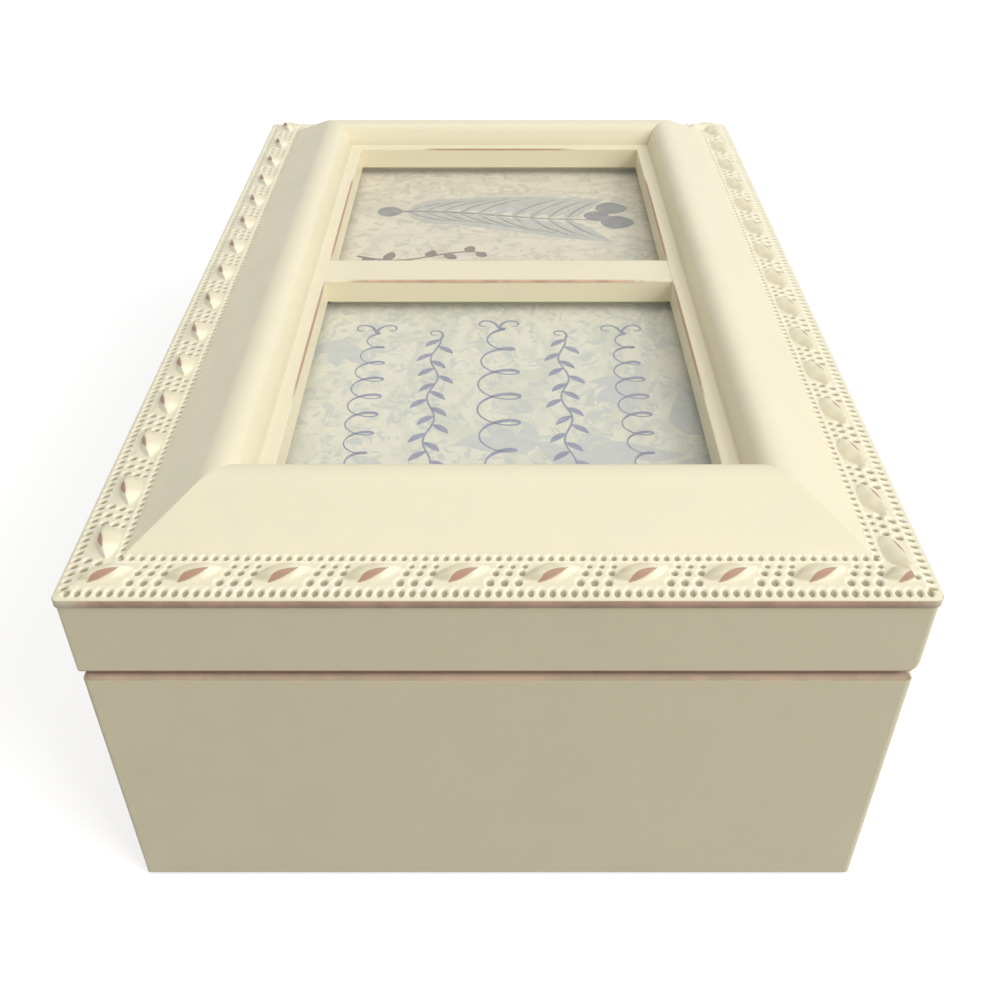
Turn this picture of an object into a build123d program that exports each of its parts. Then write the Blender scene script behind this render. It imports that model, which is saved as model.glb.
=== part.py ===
from build123d import *
from math import cos, pi, radians, sin, sqrt, tan
import os

os.makedirs("parts", exist_ok=True)

# A keepsake music box: a mitred wooden case, a framed lid with two glazed windows,
# and a spring driven comb movement under a clear cover in the back left corner.
# X runs along the length, the hinges are at +Y, and Z = 0 is the table top.

# Case
case_length = 206.8
case_width = 134.0
wall_thickness = 9.0
wall_height = 54.8
wall_edge_round = 0.6
wall_top_round = 1.5
case_front_corner = 0.7
case_back_corner = 1.3
foot_diameter = 8.0
foot_height = 0.6
foot_from_corner = 13.7
floor_recess = 14.2
floor_thickness = 3.0
floor_groove_depth = 3.0
board_clearance = 0.1
lining_thickness = 1.2
lining_drop = 3.4
pad_thickness = 4.0
pad_round = 1.6
pad_clearance = 0.3

# Lid
seam_gap = 1.0
band_height = 15.8
band_overhang = 0.3
band_thickness = 9.0
lip_overhang = 0.3
lip_height = 1.6
lid_front_corner = 0.9
lid_back_corner = 1.6

# Moulding on the lid, across its width from the lip inwards
border_width = 8.6
border_rise = 1.6
step_width = 1.1
step_rise = 0.4
crest_inset = 22.2
crest_rise = 8.5
crest_round = 3.2
foot_of_ogee_slope = 0.12
inner_face_lean = 20.0
rim_rise = 3.3
rim_width = 3.2
rabbet_width = 3.5

# Windows
window_depth = 5.2
glass_thickness = 2.0
print_thickness = 0.4
backing_thickness = 2.4
pane_clearance = 0.3
divider_width = 10.4
divider_round = 0.8
lid_lining_thickness = 1.5

# Hinges
opening_angle = 95.0
bevel_clearance = 0.15
hinge_inset = 1.7
hinge_from_end = 42.0
hinge_length = 26.0
hinge_leaf_width = 6.3
leaf_thickness = 0.8
leaf_gap = 0.2
knuckle_diameter = 3.0
knuckle_gap = 0.2
pocket_clearance = 0.2
hinge_pin_diameter = 1.6
hinge_screw_spacing = 16.0
hinge_screw_head = 3.0
hinge_screw_shank = 1.4
hinge_screw_length = 6.0

# Fits
fit_clearance = 0.02
running_clearance = 0.08
screw_clearance = 0.1
cut_margin = 1.0

# Movement box in the back left corner
partition_thickness = 3.0
batten_height = 6.0
cover_thickness = 2.0
cover_clearance = 0.3

# Bedplate
bed_room = 2.0
bed_thickness = 2.0
bed_margin = 1.6
bed_screw_inset = 4.0
bed_screw_shank = 2.8
bed_screw_head = 5.4
bed_screw_head_height = 1.5

# Spring barrel and winding arbor
barrel_diameter = 27.0
barrel_height = 9.0
barrel_wall = 1.0
spring_strip = 0.5
spring_step = 2.4
spring_margin = 0.4
arbor_diameter = 3.2
arbor_bore_in_floor = 9.0

# Key
key_clear_of_table = 1.7
key_wing_span = 22.0
key_wing_height = 9.5
key_wing_thickness = 1.6
key_wing_hole = 4.0
key_wing_round_share = 0.45
key_hub_diameter = 6.4
key_hub_height = 10.0

# Gear train
crown_module = 0.6
crown_teeth = 36
crown_face = 2.4
crown_web = 1.5
crown_gap = 0.6
crown_hub_diameter = 7.0
crown_hub_height = 1.0
drum_pinion_teeth = 12
drum_pinion_face = 1.6
fine_module = 0.35
drum_wheel_teeth = 40
idler_pinion_teeth = 8
fine_face = 1.2
worm_module = 0.5
worm_wheel_teeth = 20
worm_diameter = 3.0
worm_turns = 3.5
worm_facets = 10
addendum_share = 0.8
dedendum_share = 1.05
tooth_root_share = 0.274
tooth_tip_share = 0.122
neck_share = 0.9
thread_root_share = 0.19
thread_tip_share = 0.08

# Pinned cylinder
drum_diameter = 13.2
drum_length = 19.0
drum_dish = 0.8
drum_rim = 1.4
drum_arbor_diameter = 2.0
pin_height = 0.85
pin_width = 0.4
pins_per_note = 3
note_count = 18
pin_turn = 137.5

# Bearings and governor
bracket_thickness = 1.2
bracket_width = 7.0
bracket_margin = 3.0
bracket_gap = 0.4
train_gap = 1.0
fine_arbor_diameter = 1.6
frame_length = 9.0
frame_edge = 2.6
frame_back_reach = 3.0
bridge_gap = 0.6
fan_radius = 4.4
fan_height = 5.0
fan_lift = 1.5
fan_blade = 0.5
fan_hub_diameter = 2.4

# Comb
comb_thickness = 1.0
comb_depth = 20.0
comb_gap = 0.15
comb_slot = 0.3
longest_tooth = 13.0
shortest_tooth = 7.0
comb_ledge_depth = 9.0
comb_screw_spacing = 11.0
comb_screw_head = 4.0
comb_screw_head_height = 1.3
comb_screw_shank = 2.2
comb_screw_length = 5.0

# Stop rod, which the closed lid presses down on the governor
stop_rod_diameter = 2.4
stop_travel = 2.0
stop_rod_gap = 0.2
stop_collar_diameter = 4.6
stop_collar_height = 0.8
stop_lid_gap = 0.3
stop_spring_height = 4.45
stop_spring_strip = 0.3
stop_spring_width = 4.0
stop_spring_foot = 5.0

# Heights that follow
wall_bottom = foot_height
wall_top = wall_bottom + wall_height
lid_bottom = wall_top + seam_gap
lip_top = lid_bottom + band_height
rim_top = lip_top + rim_rise
glass_top = rim_top - window_depth
glass_bottom = glass_top - glass_thickness
backing_top = glass_bottom - print_thickness
panel_bottom = backing_top - backing_thickness
lid_lining_bottom = panel_bottom - lid_lining_thickness
floor_bottom = wall_bottom + floor_recess
floor_top = floor_bottom + floor_thickness
bed_top = floor_top + bed_thickness

# Plan sizes that follow
band_length = case_length + 2 * band_overhang
band_width = case_width + 2 * band_overhang
lid_length = band_length + 2 * lip_overhang
lid_width = band_width + 2 * lip_overhang
lean = radians(inner_face_lean)
shoulder_x = crest_inset + crest_round * cos(lean)
shoulder_y = lip_top + crest_rise - crest_round * (1 - sin(lean))
rim_inset = shoulder_x + (shoulder_y - rim_top) * tan(lean)
window_inset = rim_inset + rim_width
window_length = lid_length - 2 * window_inset
window_width = lid_width - 2 * window_inset
rabbet_length = window_length + 2 * rabbet_width
rabbet_depth_y = window_width + 2 * rabbet_width
inner_length = case_length - 2 * wall_thickness
inner_width = case_width - 2 * wall_thickness
lined_length = inner_length - 2 * lining_thickness
lined_width = inner_width - 2 * lining_thickness

# Hinge line
hinge_y = case_width / 2 - hinge_inset
hinge_z = wall_top + seam_gap / 2
hinge_places = [-case_length / 2 + hinge_from_end, case_length / 2 - hinge_from_end]

# Movement places that follow, from the box's back left corner
box_left = -lined_length / 2
box_back = lined_width / 2
bed_left = box_left + bed_room
bed_back = box_back - bed_room
pin_reach = drum_diameter / 2 + pin_height
comb_front = bed_back - comb_depth
drive_x = bed_left + bed_margin + barrel_diameter / 2
drive_y = comb_front - comb_gap - pin_reach
crown_radius = crown_module * crown_teeth / 2
drum_pinion_radius = crown_module * drum_pinion_teeth / 2
crown_bottom = bed_top + barrel_height + crown_gap
crown_pitch_z = crown_bottom + crown_web + dedendum_share * crown_module
axis_z = crown_pitch_z + drum_pinion_radius
drum_bracket_x = drive_x + barrel_diameter / 2 + bracket_gap
drum_start = drum_bracket_x + bracket_thickness + train_gap
drum_end = drum_start + drum_length
fine_start = drum_end + train_gap
fine_end = fine_start + fine_face
frame_start = fine_end + train_gap
frame_end = frame_start + frame_length
worm_x = (frame_start + frame_end) / 2
idler_y = drive_y - fine_module * (drum_wheel_teeth + idler_pinion_teeth) / 2
worm_wheel_radius = worm_module * worm_wheel_teeth / 2
worm_y = idler_y - worm_wheel_radius - worm_diameter / 2
worm_wheel_tip = worm_wheel_radius + addendum_share * worm_module
bridge_bottom = axis_z + worm_wheel_tip + bridge_gap
bridge_top = bridge_bottom + bracket_thickness
comb_bottom = axis_z - comb_thickness / 2
bed_right = frame_end + bed_margin
bed_front = worm_y - fan_radius - bed_margin / 2
box_right = bed_right + bed_room
box_front = bed_front - bed_room
bed_screws = [
    (bed_left + bed_screw_inset, bed_front + bed_screw_inset),
    (bed_left + bed_screw_inset, bed_back - bed_screw_inset),
    (bed_right - bed_screw_inset, bed_back - bed_screw_inset),
]
collar_bottom = bridge_top + stop_spring_height
collar_top = collar_bottom + stop_collar_height
cover_bottom = collar_top + stop_travel + stop_rod_gap
governor_top = bridge_top + bracket_thickness / 2

sides = {"front": 0, "right": 90, "back": 180, "left": 270}


def block(x0, x1, y0, y1, z0, z1):
    size = (x1 - x0, y1 - y0, z1 - z0)
    return Pos((x0 + x1) / 2, (y0 + y1) / 2, (z0 + z1) / 2) * Box(*size)


def rod(x, y, z0, z1, radius):
    return Pos(x, y, (z0 + z1) / 2) * Cylinder(radius, z1 - z0)


def rod_along_x(x0, x1, y, z, radius):
    return Pos((x0 + x1) / 2, y, z) * Rot(0, 90, 0) * Cylinder(radius, x1 - x0)


def rounded_plan(length, width, front_radius, back_radius):
    plan = Rectangle(length, width)
    plan = fillet(plan.vertices().group_by(Axis.Y)[0], front_radius)
    return fillet(plan.vertices().group_by(Axis.Y)[-1], back_radius)


def mitred(profile, length, depth):
    # A piece on the front side: its outer face at y = 0, its ends cut at 45 degrees
    start = Plane(origin=(-length / 2, 0, 0), x_dir=(0, 1, 0), z_dir=(1, 0, 0))
    bar = extrude(start * profile, amount=length)
    low = bar.bounding_box().min.Z
    high = bar.bounding_box().max.Z
    outline = Polyline(
        (-length / 2, 0), (length / 2, 0), (length / 2 - depth, depth), (-length / 2 + depth, depth), close=True
    )
    return bar & extrude(Pos(0, 0, low) * make_face(outline), amount=high - low)


def on_side(piece, side, length, width):
    offset = width / 2 if side in ("front", "back") else length / 2
    return Rot(0, 0, sides[side]) * Pos(0, -offset, 0) * piece


def bevel_cutter(direction):
    # The wedge between the hinge line and the back face, above it or below it
    lean = radians(opening_angle / 2)
    apex = hinge_y - bevel_clearance / sin(lean)
    reach = 2 * hinge_inset + band_overhang + lid_back_corner
    outline = Polyline(
        (apex, hinge_z), (apex + reach, hinge_z + direction * reach * tan(lean)), (apex + reach, hinge_z),
        close=True,
    )
    start = Plane(origin=(-lid_length, 0, 0), x_dir=(0, 1, 0), z_dir=(1, 0, 0))
    return extrude(start * make_face(outline), amount=2 * lid_length)


def hinge_pocket(direction):
    # Recesses for the leaf and the knuckles, below the hinge line or above it
    deep = hinge_z + direction * (leaf_gap / 2 + leaf_thickness)
    half = hinge_length / 2 + pocket_clearance
    cuts = []
    for x in hinge_places:
        low = min(deep, hinge_z)
        high = max(deep, hinge_z)
        front = hinge_y - hinge_leaf_width - pocket_clearance
        cuts.append(block(x - half, x + half, front, hinge_y, low, high))
        cuts.append(rod_along_x(x - half, x + half, hinge_y, hinge_z, knuckle_diameter / 2 + pocket_clearance))
    return cuts


def hinge_screw(x, direction, extra):
    # A countersunk screw whose head is flush with its leaf; extra widens it into its hole
    face = hinge_z + direction * leaf_gap / 2
    y = hinge_y - knuckle_diameter / 2 - (hinge_leaf_width - knuckle_diameter / 2) / 2
    head = Cone(hinge_screw_shank / 2 + extra, hinge_screw_head / 2 + extra, leaf_thickness)
    head = Pos(x, y, face + direction * leaf_thickness / 2) * Rot(90 + direction * 90, 0, 0) * head
    far = face + direction * hinge_screw_length
    return head + rod(x, y, min(face, far), max(face, far), hinge_screw_shank / 2 + extra)


def hinge_screw_places():
    return [x + side * hinge_screw_spacing / 2 for x in hinge_places for side in (-1, 1)]


def case_walls():
    profile = Pos(wall_thickness / 2, (wall_bottom + wall_top) / 2) * Rectangle(wall_thickness, wall_height)
    profile = fillet(profile.vertices().group_by(Axis.X)[0].sort_by(Axis.Y)[-1], wall_top_round)
    profile = fillet(profile.vertices().group_by(Axis.Y)[0], wall_edge_round)
    profile = fillet(profile.vertices().group_by(Axis.X)[-1].sort_by(Axis.Y)[-1], wall_edge_round)
    plan = rounded_plan(case_length, case_width, case_front_corner, case_back_corner)
    envelope = extrude(Pos(0, 0, wall_bottom) * plan, amount=wall_height)
    groove = floor_blank(board_clearance)
    cuts = [groove, bevel_cutter(-1)]
    walls = {}
    for side in sides:
        length = case_length if side in ("front", "back") else case_width
        wall = on_side(mitred(profile, length, wall_thickness), side, case_length, case_width) & envelope
        wall -= cuts
        if side == "back":
            wall -= hinge_pocket(-1)
            wall -= [hinge_screw(x, -1, screw_clearance) for x in hinge_screw_places()]
        walls[side + "_wall"] = wall
    return walls


def floor_blank(extra):
    half_length = inner_length / 2 + floor_groove_depth + extra
    half_width = inner_width / 2 + floor_groove_depth + extra
    return block(-half_length, half_length, -half_width, half_width, floor_bottom - extra, floor_top + extra)


def floor_board():
    board = floor_blank(0)
    board -= rod(drive_x, drive_y, floor_bottom, floor_top, arbor_bore_in_floor / 2)
    for x, y in bed_screws:
        board -= rod(x, y, floor_bottom, floor_top, bed_screw_shank / 2 + screw_clearance)
    return board


def felt_feet():
    feet = []
    for x in (-1, 1):
        for y in (-1, 1):
            foot_x = x * (case_length - wall_thickness) / 2
            foot_y = y * (case_width / 2 - foot_from_corner)
            feet.append(rod(foot_x, foot_y, 0, foot_height, foot_diameter / 2))
    return Compound(children=feet)


def linings():
    top = wall_top - lining_drop
    half_length = inner_length / 2
    half_width = inner_width / 2
    end_y = lined_width / 2
    return {
        "lining_front": block(-half_length, half_length, -half_width, -end_y, floor_top, top),
        "lining_back": block(-half_length, half_length, end_y, half_width, floor_top, top),
        "lining_left": block(-half_length, -lined_length / 2, -end_y, end_y, floor_top, top),
        "lining_right": block(lined_length / 2, half_length, -end_y, end_y, floor_top, top),
    }


def floor_pad():
    # An L shaped pad round the movement box, with softly rounded top edges
    half_length = lined_length / 2 - pad_clearance
    half_width = lined_width / 2 - pad_clearance
    inner_x = box_right + partition_thickness + pad_clearance
    inner_y = box_front - partition_thickness - pad_clearance
    outline = Polyline(
        (-half_length, -half_width), (half_length, -half_width), (half_length, half_width),
        (inner_x, half_width), (inner_x, inner_y), (-half_length, inner_y), close=True,
    )
    pad = extrude(Pos(0, 0, floor_top) * make_face(outline), amount=pad_thickness)
    return fillet(pad.edges().group_by(Axis.Z)[-1], pad_round)


def movement_box():
    outer_x = box_right + partition_thickness
    outer_y = box_front - partition_thickness
    batten_low = cover_bottom - batten_height
    batten_back = block(
        box_left, box_right, box_back - partition_thickness, box_back, batten_low, cover_bottom
    )
    batten_left = block(
        box_left, box_left + partition_thickness, box_front, box_back - partition_thickness,
        batten_low, cover_bottom,
    )
    cover = block(
        box_left + cover_clearance, outer_x, outer_y, box_back - cover_clearance,
        cover_bottom, cover_bottom + cover_thickness,
    )
    guide = stop_rod_diameter / 2 + running_clearance
    cover -= rod(worm_x, worm_y, cover_bottom, cover_bottom + cover_thickness, guide)
    return {
        "partition_front": block(box_left, box_right, outer_y, box_front, floor_top, cover_bottom),
        "partition_side": block(box_right, outer_x, outer_y, box_back, floor_top, cover_bottom),
        "cover_battens": Compound(children=[batten_back, batten_left]),
        "movement_cover": cover,
    }


def moulding_profile():
    # Section of a lid rail: x is the inset from the lip, y the height above the table
    band_face = lip_overhang
    rabbet_x = window_inset - rabbet_width
    foot = Vector(border_width + step_width, lip_top + border_rise + step_rise)
    crest = Vector(crest_inset, lip_top + crest_rise)
    rise = Vector(1, foot_of_ogee_slope).normalized()
    level = Vector(1, 0)
    # The ogee is a hollow arc and a round one that meet in the middle with one tangent
    across = crest - foot
    along = across.dot(rise + level)
    bend = 2 * (1 - rise.dot(level))
    reach = (sqrt(along**2 + bend * across.dot(across)) - along) / bend
    turn = (foot + crest + (rise - level) * reach) * 0.5
    hollow = TangentArc(foot, turn, tangent=rise)
    round_arc = TangentArc(turn, crest, tangent=hollow % 1)
    shoulder = JernArc(start=crest, tangent=level, radius=crest_round, arc_size=inner_face_lean - 90)
    inside = Polyline(
        shoulder @ 1,
        (rim_inset, rim_top),
        (window_inset, rim_top),
        (window_inset, glass_top),
        (rabbet_x, glass_top),
        (rabbet_x, panel_bottom),
        (band_face + band_thickness, panel_bottom),
        (band_face + band_thickness, lid_bottom),
        (band_face, lid_bottom),
        (band_face, lip_top - lip_height),
        (0, lip_top - lip_height),
        (0, lip_top),
        (border_width, lip_top + border_rise),
        foot,
    )
    return make_face([hollow, round_arc, shoulder, inside])


def lid_rails():
    lip_plan = rounded_plan(lid_length, lid_width, lid_front_corner, lid_back_corner)
    band_plan = rounded_plan(
        band_length, band_width, lid_front_corner - lip_overhang, lid_back_corner - lip_overhang
    )
    lip_bottom = lip_top - lip_height
    envelope = extrude(Pos(0, 0, lid_bottom) * band_plan, amount=lip_bottom - lid_bottom)
    envelope += extrude(Pos(0, 0, lip_bottom) * lip_plan, amount=lip_height + crest_rise)
    profile = moulding_profile()
    rails = {}
    for side in sides:
        length = lid_length if side in ("front", "back") else lid_width
        rail = on_side(mitred(profile, length, window_inset), side, lid_length, lid_width) & envelope
        rail -= bevel_cutter(1)
        if side == "back":
            rail -= hinge_pocket(1)
            rail -= [hinge_screw(x, 1, screw_clearance) for x in hinge_screw_places()]
        rails["rail_" + side] = rail
    return rails


def divider_bar():
    # A T section: its top lies level with the rim, and its stem parts the two panes
    top_half = divider_width / 2
    stem_half = top_half - rabbet_width
    top = block(-top_half, top_half, -window_width / 2, window_width / 2, glass_top, rim_top)
    top = fillet(top.edges().filter_by(Axis.Y).group_by(Axis.Z)[-1], divider_round)
    reach = rabbet_depth_y / 2 - board_clearance
    return top + block(-stem_half, stem_half, -reach, reach, backing_top, glass_top)


def window_panels():
    stem_half = divider_width / 2 - rabbet_width
    near = stem_half + pane_clearance
    far = rabbet_length / 2 - pane_clearance
    half_width = rabbet_depth_y / 2 - pane_clearance
    panels = {}
    for name, x0, x1 in (("left", -far, -near), ("right", near, far)):
        panels["glass_" + name] = block(x0, x1, -half_width, half_width, glass_bottom, glass_top)
        panels["print_" + name] = block(x0, x1, -half_width, half_width, backing_top, glass_bottom)
    panels["backing_board"] = block(-far, far, -half_width, half_width, panel_bottom, backing_top)
    half_length = lid_length / 2 - lip_overhang - band_thickness - pad_clearance
    half_depth = lid_width / 2 - lip_overhang - band_thickness - pad_clearance
    lining = block(-half_length, half_length, -half_depth, half_depth, lid_lining_bottom, panel_bottom)
    panels["lid_lining"] = fillet(lining.edges().group_by(Axis.Z)[0], lid_lining_thickness / 2)
    return panels


def hinge_leaf(x, direction):
    # direction is -1 for the leaf let into the case and 1 for the leaf let into the lid
    near = hinge_z + direction * leaf_gap / 2
    far = near + direction * leaf_thickness
    half = hinge_length / 2
    third = hinge_length / 3
    radius = knuckle_diameter / 2
    plate = block(x - half, x + half, hinge_y - hinge_leaf_width, hinge_y, min(near, far), max(near, far))
    middle = (x - third / 2, x + third / 2)
    ends = ((x - half, middle[0]), (middle[1], x + half))
    own = ends if direction < 0 else (middle,)
    other = (middle,) if direction < 0 else ends
    leaf = plate
    for x0, x1 in own:
        leaf += rod_along_x(x0, x1, hinge_y, hinge_z, radius)
    for x0, x1 in other:
        start = x0 - knuckle_gap if x0 > x - half else x0 - cut_margin
        end = x1 + knuckle_gap if x1 < x + half else x1 + cut_margin
        leaf -= rod_along_x(start, end, hinge_y, hinge_z, radius + knuckle_gap)
    bore = hinge_pin_diameter / 2 + (fit_clearance if direction < 0 else running_clearance)
    leaf -= rod_along_x(x - half, x + half, hinge_y, hinge_z, bore)
    leaf -= [hinge_screw(place, direction, screw_clearance / 2) for place in hinge_screw_places()]
    return leaf


def hinges():
    pieces = {}
    for name, x in zip(("left", "right"), hinge_places):
        pieces["hinge_case_leaf_" + name] = hinge_leaf(x, -1)
        pieces["hinge_lid_leaf_" + name] = hinge_leaf(x, 1)
        half = hinge_length / 2
        pieces["hinge_pin_" + name] = rod_along_x(x - half, x + half, hinge_y, hinge_z, hinge_pin_diameter / 2)
    pieces["hinge_case_screws"] = Compound(children=[hinge_screw(x, -1, 0) for x in hinge_screw_places()])
    pieces["hinge_lid_screws"] = Compound(children=[hinge_screw(x, 1, 0) for x in hinge_screw_places()])
    return pieces


def gear_outline(teeth, module, phase):
    # Straight sided teeth, counted from the local x axis and turned by phase degrees
    pitch_radius = module * teeth / 2
    tip = pitch_radius + addendum_share * module
    root = pitch_radius - dedendum_share * module
    step = 360 / teeth
    half_tip = step * tooth_tip_share
    half_root = step * tooth_root_share
    points = []
    for tooth in range(teeth):
        middle = phase + tooth * step
        for radius, turn in ((root, -half_root), (tip, -half_tip), (tip, half_tip), (root, half_root)):
            angle = radians(middle + turn)
            points.append((radius * cos(angle), radius * sin(angle)))
    return make_face(Polyline(*points, close=True))


def gear_along_x(x, y, z, teeth, module, face, phase, bore):
    start = Plane(origin=(x, y, z), x_dir=(0, 1, 0), z_dir=(1, 0, 0))
    wheel = extrude(start * gear_outline(teeth, module, phase), amount=face)
    return wheel - rod_along_x(x, x + face, y, z, bore)


def bedplate():
    plate = block(bed_left, bed_right, bed_front, bed_back, floor_top, bed_top)
    plate += block(drum_start, drum_end, bed_back - comb_ledge_depth, bed_back, floor_top, comb_bottom)
    plate -= rod(drive_x, drive_y, floor_top, bed_top, arbor_diameter / 2 + running_clearance)
    plate -= rod(worm_x, worm_y, floor_top, bed_top, fine_arbor_diameter / 2 + running_clearance)
    for x, y in bed_screws:
        plate -= rod(x, y, floor_top, bed_top, bed_screw_shank / 2 + screw_clearance)
    plate -= [comb_screw(x, screw_clearance) for x in comb_screw_places()]
    return plate


def movement_screws():
    screws = []
    for x, y in bed_screws:
        shank = rod(x, y, floor_bottom, bed_top, bed_screw_shank / 2)
        head = rod(x, y, floor_bottom - bed_screw_head_height, floor_bottom, bed_screw_head / 2)
        screws.append(shank + head)
    return Compound(children=screws)


def comb_screw_places():
    middle = (drum_start + drum_end) / 2
    return [middle - comb_screw_spacing / 2, middle + comb_screw_spacing / 2]


def comb_screw(x, extra):
    y = bed_back - comb_ledge_depth / 2
    top = comb_bottom + comb_thickness
    screw = rod(x, y, top - comb_screw_length, top, comb_screw_shank / 2 + extra)
    return screw + rod(x, y, top, top + comb_screw_head_height, comb_screw_head / 2 + extra)


def comb():
    plate = block(drum_start, drum_end, comb_front, bed_back, comb_bottom, comb_bottom + comb_thickness)
    step = drum_length / note_count
    slots = []
    for gap in range(1, note_count):
        x = drum_start + gap * step
        share = gap / note_count
        depth = longest_tooth + (shortest_tooth - longest_tooth) * share
        slots.append(
            block(
                x - comb_slot / 2, x + comb_slot / 2, comb_front, comb_front + depth,
                comb_bottom, comb_bottom + comb_thickness,
            )
        )
    plate -= slots
    return plate - [comb_screw(x, screw_clearance) for x in comb_screw_places()]


def spring_barrel():
    radius = barrel_diameter / 2
    top = bed_top + barrel_height
    can = rod(drive_x, drive_y, bed_top, top, radius)
    can -= rod(drive_x, drive_y, bed_top, top - barrel_wall, radius - barrel_wall)
    return can - rod(drive_x, drive_y, bed_top, top, arbor_diameter / 2 + running_clearance)


def mainspring():
    # Half turns about two centres in turn, each a little wider than the last
    low = bed_top + spring_margin
    high = bed_top + barrel_height - barrel_wall - spring_margin
    first = arbor_diameter / 2 + spring_strip / 2 + 2 * spring_margin
    room = barrel_diameter / 2 - barrel_wall - spring_strip / 2 - spring_margin
    turns = int((room - first) / spring_step)
    arcs = []
    for turn in range(turns):
        for half in (0, 1):
            radius = first + (turn + half / 2) * spring_step
            outer = Circle(radius + spring_strip / 2)
            inner = Circle(radius - spring_strip / 2)
            keep = Pos(0, (1 - 2 * half) * room) * Rectangle(4 * room, 2 * room)
            ring = (outer - inner) & keep
            arcs.append(Pos(half * spring_step / 2, 0) * ring)
    strip = arcs[0]
    for ring in arcs[1:]:
        strip += ring
    return Pos(drive_x, drive_y, low) * extrude(strip, amount=high - low)


def winding_arbor():
    top = crown_bottom + crown_web + crown_hub_height
    low = foot_height + key_clear_of_table + key_wing_height / 2
    return rod(drive_x, drive_y, low, top, arbor_diameter / 2)


def winding_key():
    low = foot_height + key_clear_of_table
    wing_plan = Rectangle(key_wing_span, key_wing_height)
    wing_plan = fillet(wing_plan.vertices(), key_wing_height * key_wing_round_share)
    hole_offset = (key_wing_span + key_hub_diameter) / 4
    for side in (-1, 1):
        wing_plan -= Pos(side * hole_offset, 0) * Circle(key_wing_hole / 2)
    upright = Plane(
        origin=(0, key_wing_thickness / 2, low + key_wing_height / 2), x_dir=(1, 0, 0), z_dir=(0, -1, 0)
    )
    key = extrude(upright * wing_plan, amount=key_wing_thickness)
    hub_low = low + key_wing_height / 4
    key += Pos(0, 0, hub_low + key_hub_height / 2) * Cylinder(key_hub_diameter / 2, key_hub_height)
    bore_low = low + key_wing_height / 2
    key -= rod(0, 0, bore_low, hub_low + key_hub_height, arbor_diameter / 2 + fit_clearance)
    return Pos(drive_x, drive_y, 0) * key


def crown_wheel():
    # A face gear: its teeth stand up from the rim and drive the pinion above them
    web_top = crown_bottom + crown_web
    rim = crown_radius + crown_face / 2
    wheel = rod(0, 0, crown_bottom, web_top, rim)
    wheel += rod(0, 0, web_top, web_top + crown_hub_height, crown_hub_diameter / 2)
    step = 360 / crown_teeth
    half_root = tooth_root_share * pi * crown_module
    half_tip = tooth_tip_share * pi * crown_module
    height = (addendum_share + dedendum_share) * crown_module
    outline = Polyline((-half_root, 0), (half_root, 0), (half_tip, height), (-half_tip, height), close=True)
    start = Plane(origin=(crown_radius - crown_face / 2, 0, web_top), x_dir=(0, 1, 0), z_dir=(1, 0, 0))
    tooth = extrude(start * make_face(outline), amount=crown_face)
    wheel += [Rot(0, 0, (index + 0.5) * step) * tooth for index in range(crown_teeth)]
    wheel = wheel & rod(0, 0, crown_bottom, web_top + height + crown_hub_height, rim)
    wheel -= rod(0, 0, crown_bottom, web_top + crown_hub_height, arbor_diameter / 2 + fit_clearance)
    return Pos(drive_x, drive_y, 0) * wheel


def pinned_cylinder():
    radius = drum_diameter / 2
    drum = rod_along_x(0, drum_length, 0, 0, radius)
    for x in (0, drum_length - drum_dish):
        dish = rod_along_x(x, x + drum_dish, 0, 0, radius - drum_rim)
        drum -= dish - rod_along_x(x, x + drum_dish, 0, 0, drum_arbor_diameter)
    track = drum_length / note_count
    length = pin_height + drum_rim / 2
    pins = []
    for note in range(note_count):
        for index in range(pins_per_note):
            angle = pin_turn * (note * pins_per_note + index)
            pin = Pos((note + 0.5) * track, 0, pin_reach - length / 2) * Box(pin_width, pin_width, length)
            pins.append(Rot(angle, 0, 0) * pin)
    drum += pins
    drum -= rod_along_x(0, drum_length, 0, 0, drum_arbor_diameter / 2 + fit_clearance)
    return Pos(drum_start, drive_y, axis_z) * drum


def cylinder_parts():
    bore = drum_arbor_diameter / 2 + fit_clearance
    pinion_x = drive_x + crown_radius - drum_pinion_face / 2
    start = pinion_x - train_gap
    end = frame_start + bracket_thickness + bracket_gap
    return {
        "pinned_cylinder": pinned_cylinder(),
        "cylinder_arbor": rod_along_x(start, end, drive_y, axis_z, drum_arbor_diameter / 2),
        "cylinder_pinion": gear_along_x(
            pinion_x, drive_y, axis_z, drum_pinion_teeth, crown_module, drum_pinion_face, 0, bore
        ),
        "cylinder_wheel": gear_along_x(
            fine_start, drive_y, axis_z, drum_wheel_teeth, fine_module, fine_face, 0, bore
        ),
    }


def idler_parts():
    bore = fine_arbor_diameter / 2 + fit_clearance
    pinion_root = fine_module * (idler_pinion_teeth / 2 - dedendum_share)
    wheel_x = worm_x - fine_face / 2
    arbor = rod_along_x(fine_end, frame_end + bracket_gap, idler_y, axis_z, fine_arbor_diameter / 2)
    pinion = extrude(
        Plane(origin=(fine_start, idler_y, axis_z), x_dir=(0, 1, 0), z_dir=(1, 0, 0))
        * gear_outline(idler_pinion_teeth, fine_module, 180 / idler_pinion_teeth),
        amount=fine_face,
    )
    neck = rod_along_x(fine_start - bracket_gap, fine_end, idler_y, axis_z, pinion_root * neck_share)
    return {
        "idler_pinion": arbor + pinion + neck,
        "worm_wheel": gear_along_x(
            wheel_x, idler_y, axis_z, worm_wheel_teeth, worm_module, fine_face, 180 / worm_wheel_teeth, bore
        ),
    }


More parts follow.
